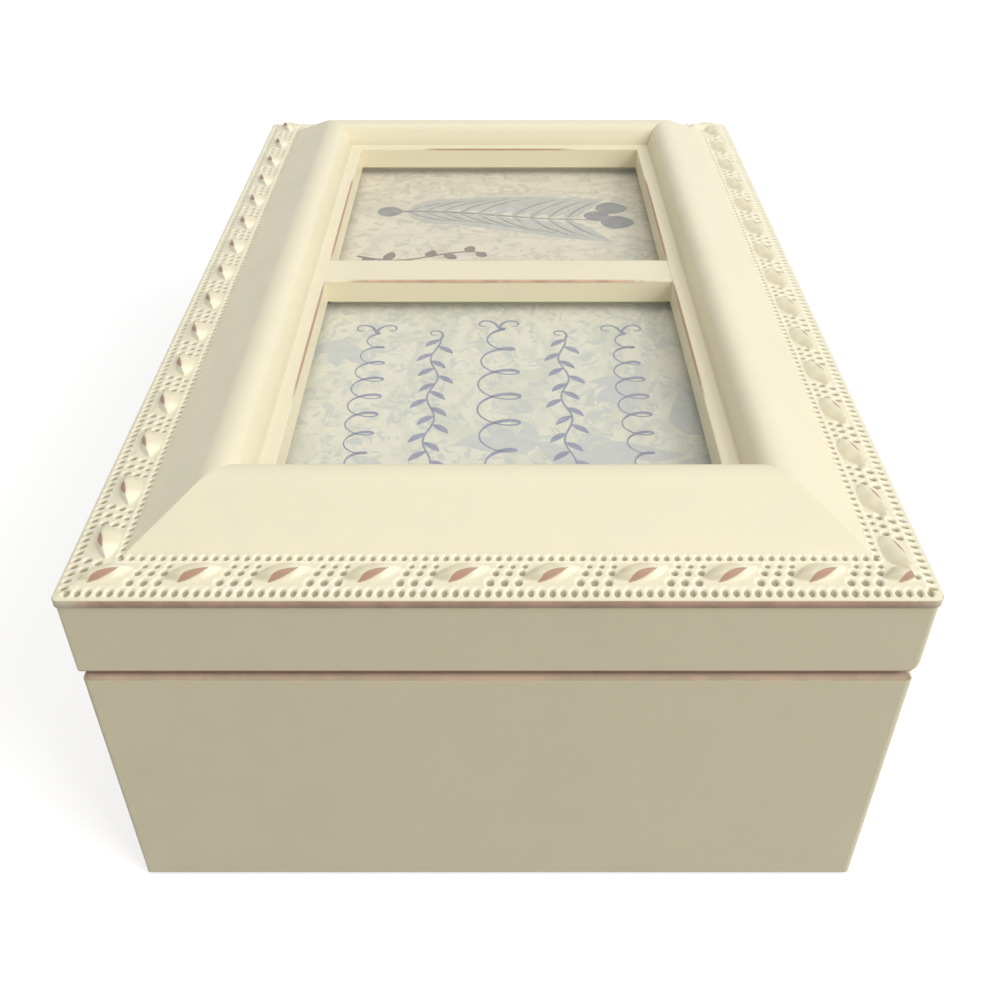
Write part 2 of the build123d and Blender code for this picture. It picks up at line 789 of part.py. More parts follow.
def governor_worm():
    # A single right hand thread that meets the wheel's gap level with its axis
    lead = pi * worm_module
    tip = worm_diameter / 2 + addendum_share * worm_module
    core = worm_diameter / 2 - dedendum_share * worm_module
    height = worm_turns * lead
    half_root = thread_root_share * lead
    half_tip = thread_tip_share * lead
    tooth = Polyline(
        (core / 2, -half_root), (tip, -half_tip), (tip, half_tip), (core / 2, half_root), close=True
    )
    sections = []
    for step in range(int(worm_turns * worm_facets) + 1):
        turn = 360 * step / worm_facets
        upright = Plane(origin=(0, 0, lead * step / worm_facets), x_dir=(1, 0, 0), z_dir=(0, -1, 0))
        sections.append(Rot(0, 0, turn) * (upright * make_face(tooth)))
    thread = loft(sections, ruled=True)
    worm = rod(0, 0, 0, height, core) + thread
    worm = worm & rod(0, 0, lead / 4, height - lead / 4, tip + cut_margin)
    thread_to_wheel = 90 - 180 * worm_turns
    return Pos(worm_x, worm_y, axis_z - height / 2) * Rot(0, 0, thread_to_wheel) * worm


def governor_parts():
    radius = fine_arbor_diameter / 2
    arbor_low = floor_top + bed_thickness / 4
    low = bed_top + fan_lift
    high = low + fan_height
    fan = rod(0, 0, low, high, fan_hub_diameter / 2)
    fan += block(-fan_radius, fan_radius, -fan_blade / 2, fan_blade / 2, low, high)
    fan = fan & rod(0, 0, low, high, fan_radius)
    fan -= rod(0, 0, low, high, radius + fit_clearance)
    worm = governor_worm()
    worm -= rod(worm_x, worm_y, bed_top, bridge_bottom, radius + fit_clearance)
    return {
        "governor_arbor": rod(worm_x, worm_y, arbor_low, governor_top, radius),
        "governor_worm": worm,
        "air_brake": Pos(worm_x, worm_y, 0) * fan,
    }


def bearings():
    half = bracket_width / 2
    bracket = block(
        drum_bracket_x, drum_bracket_x + bracket_thickness, drive_y - half, drive_y + half,
        bed_top, axis_z + bracket_margin,
    )
    drum_bore = drum_arbor_diameter / 2 + running_clearance
    fine_bore = fine_arbor_diameter / 2 + running_clearance
    bracket -= rod_along_x(drum_bracket_x, drum_bracket_x + bracket_thickness, drive_y, axis_z, drum_bore)
    plate_front = idler_y - frame_edge
    plate_back = drive_y + frame_back_reach
    frame = block(
        frame_start, frame_start + bracket_thickness, plate_front, plate_back, bed_top, bridge_top
    )
    frame += block(frame_end - bracket_thickness, frame_end, plate_front, plate_back, bed_top, bridge_top)
    frame += block(
        frame_start, frame_end, idler_y + frame_edge, plate_back, bed_top, bed_top + bracket_thickness
    )
    frame += block(
        frame_start, frame_end, worm_y - frame_edge, plate_back, bridge_bottom, bridge_top
    )
    frame -= rod_along_x(frame_start, frame_start + bracket_thickness, drive_y, axis_z, drum_bore)
    frame -= rod_along_x(frame_start, frame_end, idler_y, axis_z, fine_bore)
    frame -= rod(worm_x, worm_y, bridge_bottom, bridge_top, fine_bore)
    return {"cylinder_bearing": bracket, "governor_frame": frame}


def stop_parts():
    low = governor_top + stop_rod_gap
    high = lid_lining_bottom - stop_lid_gap
    stop = rod(worm_x, worm_y, low, high, stop_rod_diameter / 2)
    stop += rod(worm_x, worm_y, collar_top - stop_collar_height, collar_top, stop_collar_diameter / 2)
    stop = chamfer(stop.edges().group_by(Axis.Z)[-1], stop_rod_diameter / 4)
    return {"stop_rod": stop, "stop_spring": stop_spring()}


def stop_spring():
    # A bent strip: its foot lies on the bridge, and its forked tip lifts the rod's collar
    half_strip = stop_spring_strip / 2
    low = bridge_top + half_strip
    high = collar_bottom - fit_clearance - half_strip
    foot_back = drive_y + frame_back_reach
    foot_front = foot_back - stop_spring_foot
    tip_back = worm_y + stop_collar_diameter / 2
    tip_front = worm_y - stop_collar_diameter / 2
    bends = Polyline((foot_back, low), (foot_front, low), (tip_back, high), (tip_front, high))
    strip = make_face(offset(bends, half_strip, side=Side.BOTH))
    start = Plane(origin=(worm_x - stop_spring_width / 2, 0, 0), x_dir=(0, 1, 0), z_dir=(1, 0, 0))
    spring = extrude(start * strip, amount=stop_spring_width)
    fork = stop_rod_diameter / 2 + screw_clearance
    open_end = tip_front - cut_margin
    return spring - block(worm_x - fork, worm_x + fork, open_end, worm_y + fork, bridge_top, high + cut_margin)


nodes = {}
nodes.update(case_walls())
nodes["floor_board"] = floor_board()
nodes["felt_feet"] = felt_feet()
nodes.update(linings())
nodes["floor_pad"] = floor_pad()
nodes.update(movement_box())
nodes.update(lid_rails())
nodes["divider_bar"] = divider_bar()
nodes.update(window_panels())
nodes.update(hinges())
nodes["bedplate"] = bedplate()
nodes["movement_screws"] = movement_screws()
nodes["comb"] = comb()
nodes["comb_screws"] = Compound(children=[comb_screw(x, 0) for x in comb_screw_places()])
nodes["spring_barrel"] = spring_barrel()
nodes["mainspring"] = mainspring()
nodes["winding_arbor"] = winding_arbor()
nodes["winding_key"] = winding_key()
nodes["crown_wheel"] = crown_wheel()
nodes.update(cylinder_parts())
nodes.update(idler_parts())
nodes.update(governor_parts())
nodes.update(bearings())
nodes.update(stop_parts())

for name, shape in nodes.items():
    export_step(shape, "parts/" + name + ".step")
print(len(nodes), "nodes")
print("hinge line", round(hinge_y, 3), round(hinge_z, 3))
print("drive", round(drive_x, 3), round(drive_y, 3), "axis height", round(axis_z, 3))
print("idler y", round(idler_y, 3), "worm", round(worm_x, 3), round(worm_y, 3))
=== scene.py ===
from math import acos, asin, atan2, ceil, cos, pi, radians, sin, sqrt, tan

import bmesh
import bpy
import numpy as np
from mathutils import Matrix, Vector


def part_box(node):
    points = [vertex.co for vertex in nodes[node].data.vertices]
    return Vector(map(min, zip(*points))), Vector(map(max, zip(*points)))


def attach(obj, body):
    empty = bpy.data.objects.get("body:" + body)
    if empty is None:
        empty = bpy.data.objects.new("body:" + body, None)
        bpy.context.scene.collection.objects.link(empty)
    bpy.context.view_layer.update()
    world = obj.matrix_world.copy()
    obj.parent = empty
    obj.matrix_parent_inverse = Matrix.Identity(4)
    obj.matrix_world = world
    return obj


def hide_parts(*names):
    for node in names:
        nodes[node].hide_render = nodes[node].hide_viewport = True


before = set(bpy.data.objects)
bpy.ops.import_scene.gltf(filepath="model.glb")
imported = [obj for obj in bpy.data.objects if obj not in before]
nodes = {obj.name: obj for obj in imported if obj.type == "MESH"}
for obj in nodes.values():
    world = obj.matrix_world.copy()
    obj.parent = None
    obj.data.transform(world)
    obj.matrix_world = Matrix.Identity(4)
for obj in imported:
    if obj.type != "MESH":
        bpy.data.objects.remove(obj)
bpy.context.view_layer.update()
MM = 0.001


def box(node):
    """The lowest and highest corners of a CAD node, in millimetres."""
    return [np.array(corner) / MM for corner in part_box(node)]


# The lid's and the case's sizes, in millimetres: read off the CAD model, or the same as its own
rim_rise = 3.3
window_depth = 5.2
half_length = box("rail_right")[1][0]
half_width = box("rail_back")[1][1]
lip_top = box("glass_left")[1][2] + window_depth - rim_rise
glass_top = lip_top + rim_rise - window_depth
band_bottom = box("rail_front")[0][2]
panel_bottom = box("backing_board")[0][2]
case_top = box("front_wall")[1][2]
lip_height = 1.6
lip_overhang = 0.3
band_thickness = 9.0
border_width = 9.2
border_crown = 0.92
foot_inset = 9.7
foot_rise = 1.8
crest_inset = 22.2
crest_rise = 8.5
slope_round = 6.0
crest_round = 3.2
rim_width = 3.2
inner_face_lean = radians(20)
window_inset = crest_inset + 7.3
rabbet_width = 3.5
divider_half = 5.2
mitre_groove = 0.22
front_corner = 0.9
back_corner = 1.6
hinge_line = (65.3, 55.9)
knuckle_room = 1.7
leaf_room = 0.2
bevel_angle = radians(47.5)
bevel_gap = 0.15

# How rubbed the crease inside the crest is; its points are known by this value, and given painted shade
crease_wear = 0.2

# The case's outer faces, in metres
case_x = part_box("right_wall")[1][0]
case_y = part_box("back_wall")[1][1]


# Materials


def linear(color, share=1.0):
    """A colour as it shows on the screen, such as "f1e8ca", as a share of its linear values."""
    out = []
    for value in bytes.fromhex(color):
        v = value / 255
        out.append(share * (v / 12.92 if v <= 0.04045 else ((v + 0.055) / 1.055) ** 2.4))
    return (*out, 1.0)


class Nodes:
    """Short calls for the nodes of a material or the world."""

    def __init__(self, owner):
        owner.use_nodes = True
        self.tree = owner.node_tree

    def node(self, kind, links=(), **settings):
        made = self.tree.nodes.new(kind)
        for key, value in settings.items():
            setattr(made, key, value)
        for socket, value in links:
            self.put(made.inputs[socket], value)
        return made

    def put(self, socket, value):
        if isinstance(value, bpy.types.NodeSocket):
            self.tree.links.new(value, socket)
        else:
            socket.default_value = linear(value) if isinstance(value, str) else value

    def math(self, operation, a, b=0.0, c=0.0):
        return self.node("ShaderNodeMath", ((0, a), (1, b), (2, c)), operation=operation).outputs[0]

    def times(self, a, b):
        return self.math("MULTIPLY", a, b)

    def span(self, value, low, high, out_low=0.0, out_high=1.0):
        links = ((0, value), (1, low), (2, high), (3, out_low), (4, out_high))
        return self.node("ShaderNodeMapRange", links, interpolation_type="SMOOTHSTEP").outputs[0]


class Paint(Nodes):
    """A Principled material, with the textures and marks that drive it."""

    def __init__(self, name, **plain):
        self.material = bpy.data.materials.new(name)
        super().__init__(self.material)
        self.shader = self.tree.nodes["Principled BSDF"]
        for socket, value in plain.items():
            self.shader.inputs[socket.replace("_", " ")].default_value = value
        self.place = self.node("ShaderNodeTexCoord").outputs["Object"]

    def stretched(self, x, y, z):
        return self.node("ShaderNodeMapping", (("Vector", self.place), ("Scale", (x, y, z)))).outputs[0]

    def noise(self, scale, detail=3.0, roughness=0.55, vector=None, distortion=0.0):
        links = (
            ("Vector", vector or self.place), ("Scale", scale), ("Detail", detail),
            ("Roughness", roughness), ("Distortion", distortion),
        )
        return self.node("ShaderNodeTexNoise", links).outputs["Fac"]

    def mix(self, factor, a, b, blend="MIX"):
        made = self.node("ShaderNodeMix", data_type="RGBA", blend_type=blend)
        for index, value in ((0, factor), (6, a), (7, b)):
            self.put(made.inputs[index], value)
        return made.outputs[2]

    def attribute(self, name):
        return self.node("ShaderNodeAttribute", attribute_name=name).outputs["Fac"]

    def from_middle(self):
        """How far a point is from the lid's middle along x and along y, and its z."""
        x, y, z = self.node("ShaderNodeSeparateXYZ", ((0, self.place),)).outputs
        return self.math("ABSOLUTE", x), self.math("ABSOLUTE", y), z

    def near(self, value, centre, width):
        """1 where value is at centre, falling to 0 at width from it."""
        away = self.math("ABSOLUTE", self.math("SUBTRACT", value, centre))
        return self.span(away, 0.0, width, 1.0, 0.0)

    def bump(self, height, distance, strength=1.0, below=None):
        links = [("Height", height), ("Distance", distance), ("Strength", strength)]
        if below is not None:
            links.append(("Normal", below))
        return self.node("ShaderNodeBump", links).outputs[0]

    def finish(self, color=None, roughness=None, normal=None):
        for socket, value in (("Base Color", color), ("Roughness", roughness), ("Normal", normal)):
            if value is not None:
                self.put(self.shader.inputs[socket], value)
        return self.material


def ivory(name, wear_places, rubbed_through):
    """Hand painted ivory, rubbed through to rose brown where wear_places says."""
    p = Paint(name, IOR=1.45)
    # Soft broad mottling, with a few dark specks
    broad = p.noise(38.0, 3.0)
    mottle = p.noise(150.0, 4.0, 0.6)
    color = p.mix(p.span(broad, 0.35, 0.7), "f1e8ca", "eee6c8")
    color = p.mix(p.span(mottle, 0.5, 0.72, 0.0, 0.45), color, "e9e5cb")
    fine = p.noise(900.0, 2.0)
    color = p.mix(p.span(fine, 0.55, 0.8, 0.0, 0.25), color, "f6f0d8")
    cells = p.node("ShaderNodeTexVoronoi", (("Vector", p.place), ("Scale", 58.0))).outputs["Distance"]
    speck = p.span(cells, 0.0, 0.012, 1.0, 0.0)
    color = p.mix(p.times(speck, 0.65), color, "786950")
    # Painted shade makes the upright faces below the lip a little duller than the lid's top
    ax, ay, z = p.from_middle()
    lip_bottom = (lip_top - lip_height) * MM
    painted_shade_below_lip = p.span(z, lip_bottom - 0.3 * MM, lip_bottom, 1.0, 0.0)
    color = p.mix(painted_shade_below_lip, color, (0.93, 0.915, 0.86, 1.0), "MULTIPLY")
    # Painted shadow lies in the seam under the lid, on the outer round of the case's top edge
    on_x = p.near(ax, case_x - 0.8 * MM, 0.9 * MM)
    on_y = p.near(ay, case_y - 0.8 * MM, 0.9 * MM)
    seam = p.near(z, (case_top - 0.2) * MM, 1.2 * MM)
    painted_seam_shadow = p.times(seam, p.math("MAXIMUM", on_x, on_y))
    # Painted shade darkens the holes, the carved leaves' left flanks and the crease inside the crest, and
    # painted highlights lighten the edges round the holes, the rib and the leaves' right ends
    pit = p.attribute("pit")
    color = p.mix(p.span(pit, 0.0, 1.0, 0.0, 0.92), color, "9e957a")
    color = p.mix(p.span(pit, 0.0, -1.0), color, "fdf8e2")
    # Wear has a ragged and patchy outline
    wear = wear_places(p)
    ragged = p.times(p.math("SUBTRACT", p.noise(420.0, 4.0, 0.6), 0.5), 0.35)
    patchy = p.times(p.math("SUBTRACT", p.noise(34.0, 2.0), 0.5), 0.6)
    wear = p.math("ADD", wear, p.math("ADD", ragged, patchy))
    wear = p.span(wear, 0.42, 0.78)
    rose = p.mix(p.span(p.noise(230.0, 3.0), 0.35, 0.65), "d3ab93", "bb9680")
    # Where marked, the rose is browner: darker wear on the window edges and rubbed leaf centres, with
    # painted shade in the crease and holes
    rose = p.mix(p.span(pit, 0.1, 0.6), rose, "b88e76")
    color = p.mix(p.times(wear, rubbed_through), color, rose)
    # Painted shadow darkens the seam under the lid
    color = p.mix(p.times(painted_seam_shadow, 0.7), color, "7a6250")
    rough = p.span(mottle, 0.3, 0.7, 0.36, 0.46)
    rough = p.math("ADD", rough, p.times(wear, 0.15))
    brushed = p.noise(500.0, 3.0, 0.6, vector=p.stretched(0.35, 0.35, 1.0))
    normal = p.bump(brushed, 0.00005, 0.4)
    normal = p.bump(p.math("SUBTRACT", 1.0, wear), 0.00005, 0.4, below=normal)
    return p.finish(color, rough, normal)


def wear_on_case(p):
    """Rubbed along the case's top edge, its upright corners and its bottom edge."""
    ax, ay, z = p.from_middle()
    top = p.span(z, (case_top - 1.6) * MM, (case_top - 1.1) * MM, 0.0, 1.25)
    foot = p.near(z, 0.6 * MM, 1.2 * MM)
    corner = p.times(p.near(ax, case_x, 1.1 * MM), p.near(ay, case_y, 1.1 * MM))
    near_outside = p.math("MAXIMUM", p.near(ax, case_x, 2 * MM), p.near(ay, case_y, 2 * MM))
    edges = p.math("MAXIMUM", top, p.times(foot, 0.6))
    edges = p.times(edges, near_outside)
    return p.math("MAXIMUM", edges, p.times(corner, 0.75))


def metal(name, color, roughness, grain, along=(1.0, 1.0, 1.0)):
    """Metal with cloudy tarnish and fine brushed lines; along scales them on each axis."""
    p = Paint(name, Metallic=1.0)
    cloud = p.noise(240.0, 4.0, 0.6)
    shade = p.mix(p.span(cloud, 0.35, 0.8, 0.0, 0.6), color, linear(color, 0.72))
    rough = p.span(cloud, 0.3, 0.75, roughness, min(1.0, roughness + 0.14))
    lines = p.noise(2600.0, 2.0, 0.7, vector=p.stretched(*along))
    normal = p.bump(lines, 0.00001, grain)
    return p.finish(shade, rough, normal)


def wood(name, light, dark, squeezed):
    """Bare wood; its grain runs along the axis that is squeezed most."""
    p = Paint(name, IOR=1.45)
    grain = p.noise(620.0, 5.0, 0.62, vector=p.stretched(*squeezed), distortion=0.6)
    bands = p.noise(90.0, 3.0, 0.5, vector=p.stretched(*squeezed), distortion=1.2)
    color = p.mix(p.span(bands, 0.35, 0.65), light, dark)
    color = p.mix(p.span(grain, 0.5, 0.75, 0.0, 0.55), color, linear(dark, 0.6))
    return p.finish(color, p.span(grain, 0.3, 0.7, 0.55, 0.72), p.bump(grain, 0.00008, 0.6))


def velvet(name, color, deep):
    p = Paint(name, IOR=1.4, Sheen_Weight=0.45, Sheen_Roughness=0.45, Sheen_Tint=(1.0, 0.96, 0.9, 1.0))
    nap = p.noise(42.0, 4.0, 0.6, distortion=0.3)
    tips = p.noise(5200.0, 2.0, 0.8)
    shade = p.mix(p.span(nap, 0.35, 0.68), color, deep)
    shade = p.mix(p.span(tips, 0.4, 0.75, 0.0, 0.35), shade, linear(deep, 0.55))
    return p.finish(shade, p.span(nap, 0.3, 0.7, 0.78, 0.95), p.bump(tips, 0.00015, 0.8))


def felt(name, color):
    p = Paint(name, Roughness=0.95)
    fibres = p.noise(2600.0, 5.0, 0.8, distortion=2.0)
    shade = p.mix(p.span(fibres, 0.35, 0.7), color, linear(color, 0.55))
    return p.finish(shade, None, p.bump(fibres, 0.0002, 0.9))


def clear_sheet(name, tint, alpha, roughness):
    """Glass or acrylic: mostly see-through, with dust and a soft reflection."""
    p = Paint(name, IOR=1.5, Alpha=alpha, Specular_IOR_Level=0.9)
    dust = p.noise(160.0, 4.0, 0.7)
    color = p.mix(p.span(dust, 0.4, 0.75, 0.0, 0.5), tint, "e8e8de")
    rough = p.span(dust, 0.45, 0.8, roughness, roughness + 0.12)
    p.material.surface_render_method = "BLENDED"
    return p.finish(color, rough)


def plastic(name, color, roughness):
    p = Paint(name, IOR=1.5)
    cloud = p.noise(320.0, 3.0)
    shade = p.mix(p.span(cloud, 0.35, 0.75, 0.0, 0.4), color, linear(color, 0.86))
    rough = p.span(cloud, 0.3, 0.7, roughness, roughness + 0.1)
    return p.finish(shade, rough, p.bump(p.noise(3000.0, 2.0), 0.00002, 0.5))


def card(name, ground, cloudy, shadow, drift):
    """Printed card: a pale ground with soft drifting leaf-like mottles."""
    p = Paint(name, IOR=1.45, Roughness=0.5)
    wander = p.noise(95.0, 3.0, 0.6, vector=p.stretched(*drift), distortion=2.4)
    tufts = p.noise(230.0, 4.0, 0.62, distortion=1.6)
    color = p.mix(p.span(wander, 0.42, 0.62), ground, cloudy)
    color = p.mix(p.span(tufts, 0.52, 0.6, 0.0, 0.7), color, shadow)
    paper = p.noise(1600.0, 3.0, 0.7)
    color = p.mix(p.span(paper, 0.45, 0.8, 0.0, 0.12), color, "787669")
    return p.finish(color, None, p.bump(paper, 0.00002, 0.4))


def ink(name, color, worn):
    p = Paint(name, IOR=1.45, Roughness=0.5)
    cover = p.noise(420.0, 4.0, 0.65)
    return p.finish(p.mix(p.span(cover, 0.38, 0.72), color, worn))


paint = ivory("ivory_moulding", lambda p: p.attribute("wear"), 0.88)
pile = velvet("velvet_pile", "c6b496", "b8a587")
felt_brown = felt("felt_brown", "786250")
card_left = card("card_left", "f3e8ce", "e4d9c0", "ccc3ae", (1.0, 0.45, 1.0))
card_right = card("card_right", "f2ebd5", "e1dec9", "c6cbc4", (0.5, 1.0, 1.0))
ink_left = ink("ink_sepia", "7a726c", "9c948c")
ink_left_warm = ink("ink_brown", "705842", "927a62")
ink_pale = ink("ink_pale_grey", "c4bfb4", "d4d1c6")
ink_faint = ink("ink_faint_grey", "cecdc8", "d8d9cf")
ink_dark = ink("ink_dark_grey", "7a7674", "96928e")
ink_right = ink("ink_lavender", "7c7c9c", "9696b0")


def dress(material, names):
    """Gives a material to the CAD nodes that stay in sight."""
    for name in names.split():
        obj = nodes[name]
        if not obj.material_slots:
            obj.data.materials.append(material)
        for place in obj.material_slots:
            place.material = material


dress(ivory("ivory_case", wear_on_case, 0.66), "front_wall back_wall left_wall right_wall")
dress(wood("plywood", "ceb084", "b28e62", (0.06, 1.0, 1.0)), "floor_board backing_board")
dress(wood("softwood", "d4b68a", "ba9668", (1.0, 0.06, 1.0)), "cover_battens")
dress(clear_sheet("window_glass", "ecf2ee", 0.14, 0.04), "glass_left glass_right")
dress(clear_sheet("cover_acrylic", "eeeeea", 0.12, 0.05), "movement_cover")
hinges = " ".join(name for name in nodes if name.startswith("hinge_"))
dress(metal("hinge_brass", "ceb074", 0.28, 0.5), hinges)
dress(metal("bed_casting", "beaa80", 0.42, 0.6), "bedplate")
dress(
    metal("turned_steel", "c4c4c2", 0.24, 0.5, along=(1.0, 0.05, 0.05)),
    "movement_screws comb_screws winding_arbor cylinder_arbor governor_arbor idler_pinion",
)
dress(metal("comb_steel", "bcbec2", 0.26, 0.9, along=(1.0, 0.03, 1.0)), "comb")
dress(metal("nickel_plate", "d0cec8", 0.16, 0.2), "spring_barrel winding_key")
dress(metal("blued_spring", "6c7486", 0.3, 0.4), "mainspring stop_spring")
dress(
    metal("gear_brass", "d8b86c", 0.26, 0.5, along=(0.05, 1.0, 1.0)),
    "crown_wheel pinned_cylinder cylinder_pinion cylinder_wheel worm_wheel",
)
dress(metal("stamped_steel", "bab8b2", 0.34, 0.6), "cylinder_bearing governor_frame")
dress(plastic("nylon_white", "eeeadc", 0.42), "governor_worm air_brake")
dress(plastic("rod_plastic", "eee8d6", 0.3), "stop_rod")


# Meshes


def new_object(name, data):
    obj = bpy.data.objects.new(name, data)
    bpy.context.scene.collection.objects.link(obj)
    return obj


def made_mesh(name, vertices, faces, **values):
    """A mesh from millimetres; values are per-vertex numbers kept as attributes."""
    mesh = bpy.data.meshes.new(name)
    mesh.from_pydata((np.asarray(vertices, dtype=float) * MM).tolist(), [], faces)
    for key, numbers in values.items():
        layer = mesh.attributes.new(key, "FLOAT", "POINT")
        layer.data.foreach_set("value", np.asarray(numbers, dtype=np.float32))
    return mesh


def piece(name, vertices, faces, material, body, slot, sharp=35.0, **values):
    """A mesh object on a body; edges that turn by more than sharp degrees show as edges."""
    return shown(name, made_mesh(name, vertices, faces, **values), material, body, sharp)


def shown(name, mesh, material, body, sharp):
    tidy = bmesh.new()
    tidy.from_mesh(mesh)
    bmesh.ops.recalc_face_normals(tidy, faces=tidy.faces)
    tidy.to_mesh(mesh)
    tidy.free()
    mesh.shade_smooth()
    mesh.set_sharp_from_angle(angle=radians(sharp))
    mesh.materials.append(material)
    obj = new_object(name, mesh)
    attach(obj, body)
    return obj


def lofted(rings):
    """Faces between rings of equal length, each a closed loop of points, and over both ends."""
    count = len(rings[0])
    faces = []
    for r in range(len(rings) - 1):
        a = r * count
        b = a + count
        for i in range(count):
            j = (i + 1) % count
            faces.append((a + i, a + j, b + j, b + i))
    faces.append(tuple(range(count - 1, -1, -1)))
    last = (len(rings) - 1) * count
    faces.append(tuple(range(last, last + count)))
    return faces


# The lid's mouldings. A rail is described by its inset from the lip and its height,
# and laid along its side of the lid from mitre to mitre, round the lid's small corners.

sides = {
    # where the side starts, the ways along it and inwards, its length, and the radii of its corners
    "front": ((-half_length, -half_width), (1, 0), (0, 1), 2 * half_length, front_corner, front_corner),
    "right": ((half_length, -half_width), (0, 1), (-1, 0), 2 * half_width, front_corner, back_corner),
    "back": ((half_length, half_width), (-1, 0), (0, -1), 2 * half_length, back_corner, back_corner),
    "left": ((-half_length, half_width), (0, -1), (1, 0), 2 * half_width, back_corner, front_corner),
}


def along_side(length, corner_start, corner_end, inset, share):
    """Places along a side, and their insets, for a row at inset; share runs from 0 to 1."""
    inset, share = np.broadcast_arrays(np.asarray(inset, dtype=float), np.asarray(share, dtype=float))
    bend_start = np.maximum(corner_start - inset, 0.0)
    bend_end = np.maximum(corner_end - inset, 0.0)
    arc_start = bend_start * pi / 4
    arc_end = bend_end * pi / 4
    first = np.maximum(corner_start, inset)
    last = length - np.maximum(corner_end, inset)
    total = arc_start + (last - first) + arc_end
    walked = share * total
    s = first + walked - arc_start
    n = inset.copy()
    on_start = walked < arc_start
    turn = -3 * pi / 4 + np.divide(walked, bend_start, out=np.zeros_like(walked), where=bend_start > 0)
    s = np.where(on_start, corner_start + bend_start * np.cos(turn), s)
    n = np.where(on_start, corner_start + bend_start * np.sin(turn), n)
    left_over = total - walked
    on_end = left_over < arc_end
    turn = -pi / 4 - np.divide(left_over, bend_end, out=np.zeros_like(walked), where=bend_end > 0)
    s = np.where(on_end, length - corner_end + bend_end * np.cos(turn), s)
    n = np.where(on_end, corner_end + bend_end * np.sin(turn), n)
    return s, n


def on_lid(side, s, n, z):
    """Points in the row frame for places s along a side, n in from its lip and z up."""
    start, ahead, inward = sides[side][:3]
    x = start[0] + s * ahead[0] + n * inward[0]
    y = start[1] + s * ahead[1] + n * inward[1]
    return np.stack([x, y, np.broadcast_to(z, np.shape(x))], axis=-1)


def rounded(corners, steps=4):
    """A closed outline through corners (x, z, radius, wear), and how worn each of its points is.

    A corner with a radius becomes a small arc of steps."""
    out, worn = [], []
    for i, (x, z, radius, wear) in enumerate(corners):
        here = np.array((x, z), dtype=float)
        arc = [here]
        if radius:
            ways = [np.array(corners[k % len(corners)][:2]) - here for k in (i - 1, i + 1)]
            before, after = (way / np.linalg.norm(way) for way in ways)
            cut = radius / tan(acos(np.clip(before @ after, -1, 1)) / 2)
            a, b = here + before * cut, here + after * cut
            shares = [step / steps for step in range(steps + 1)]
            arc = [(1 - t) ** 2 * a + 2 * t * (1 - t) * here + t**2 * b for t in shares]
        out += [tuple(point) for point in arc]
        worn += [wear] * len(arc)
    return out, worn


def border_top(inset):
    """Height of the carved border's ground: it rises from the lip, runs level, then turns up."""
    level_from, level_to = 6.2, 7.6
    climb = np.sin(pi / 2 * np.clip(inset / level_from, 0, 1))
    turn_up = 0.45 * np.clip((inset - level_to) / (border_width - level_to), 0, 1) ** 1.5
    return lip_top + border_crown * climb + turn_up


def rail_outline():
    """The closed section of a rail as (inset, height), with how worn each point is."""
    # The slope is straight, and its top rounds over to level at the crest
    foot = np.array([foot_inset, lip_top + foot_rise])
    middle = np.array([crest_inset, lip_top + crest_rise - slope_round])
    far = np.linalg.norm(middle - foot)
    pitch = atan2(middle[1] - foot[1], middle[0] - foot[0]) + asin(slope_round / far)
    slope_length = sqrt(far**2 - slope_round**2)
    uphill = np.array([cos(pitch), sin(pitch)])
    slope = [tuple(foot + t * slope_length * uphill) for t in np.linspace(0, 1, 9)]
    swell = [
        (middle[0] - slope_round * sin(t), middle[1] + slope_round * cos(t))
        for t in np.linspace(pitch, 0, 9)
    ]
    centre = (crest_inset, lip_top + crest_rise - crest_round)
    shoulder = [
        (centre[0] + crest_round * sin(t), centre[1] + crest_round * cos(t))
        for t in np.linspace(0, pi / 2 - inner_face_lean, 9)
    ]
    rim_top = lip_top + rim_rise
    rim_x = shoulder[-1][0] + (shoulder[-1][1] - rim_top) * tan(inner_face_lean)
    window = rim_x + rim_width
    rabbet = window - rabbet_width
    inner = lip_overhang + band_thickness
    under = lip_top - lip_height
    top = slope[:-1] + swell[:-1] + shoulder
    rest = [
        # inset, height, radius, wear
        (rim_x, rim_top, 0.25, crease_wear), (rim_x + 0.5, rim_top, 0, 0),
        (window - 0.5, rim_top, 0, 0), (window, rim_top, 0.3, 1), (window, rim_top - 0.5, 0, 0),
        (window, glass_top + 0.5, 0, 0), (window, glass_top, 0, 0.4), (rabbet, glass_top, 0, 0),
        (rabbet, panel_bottom, 0, 0), (inner, panel_bottom, 0, 0),
        (inner, band_bottom + 0.7, 0, 0), (inner, band_bottom, 0.4, 0.8), (inner - 0.8, band_bottom, 0, 0),
        (lip_overhang + 1.5, band_bottom, 0, 0), (lip_overhang + 0.7, band_bottom, 0, 0.9),
        (lip_overhang, band_bottom, 0.3, 0.9), (lip_overhang, band_bottom + 0.45, 0, 0),
        (lip_overhang, under - 0.5, 0, 0), (lip_overhang, under, 0, 0.2),
        (border_width + 0.02, under, 0, 0), (border_width + 0.02, border_top(border_width), 0, 0),
        (border_width + 0.14, foot[1] - 0.3, 0.12, 0),
    ]
    outline, wear = rounded([(*top[-1], 0, 0), *rest, (*top[0], 0, 0)])
    return top + outline[1:-1], [0.0] * len(top) + wear[1:-1]


def share_columns(length, corner_start, corner_end):
    """Where a rail's cross sections stand: close together round the corners and at the mitres."""
    arc = 6
    groove = mitre_groove / length
    start = [corner_start * pi / 4 / length * i / arc for i in range(2, arc + 1)]
    end = [1 - corner_end * pi / 4 / length * i / arc for i in range(2, arc + 1)]
    return sorted({0.0, groove, *start, *np.linspace(0.02, 0.98, 53), *end, 1 - groove, 1.0})


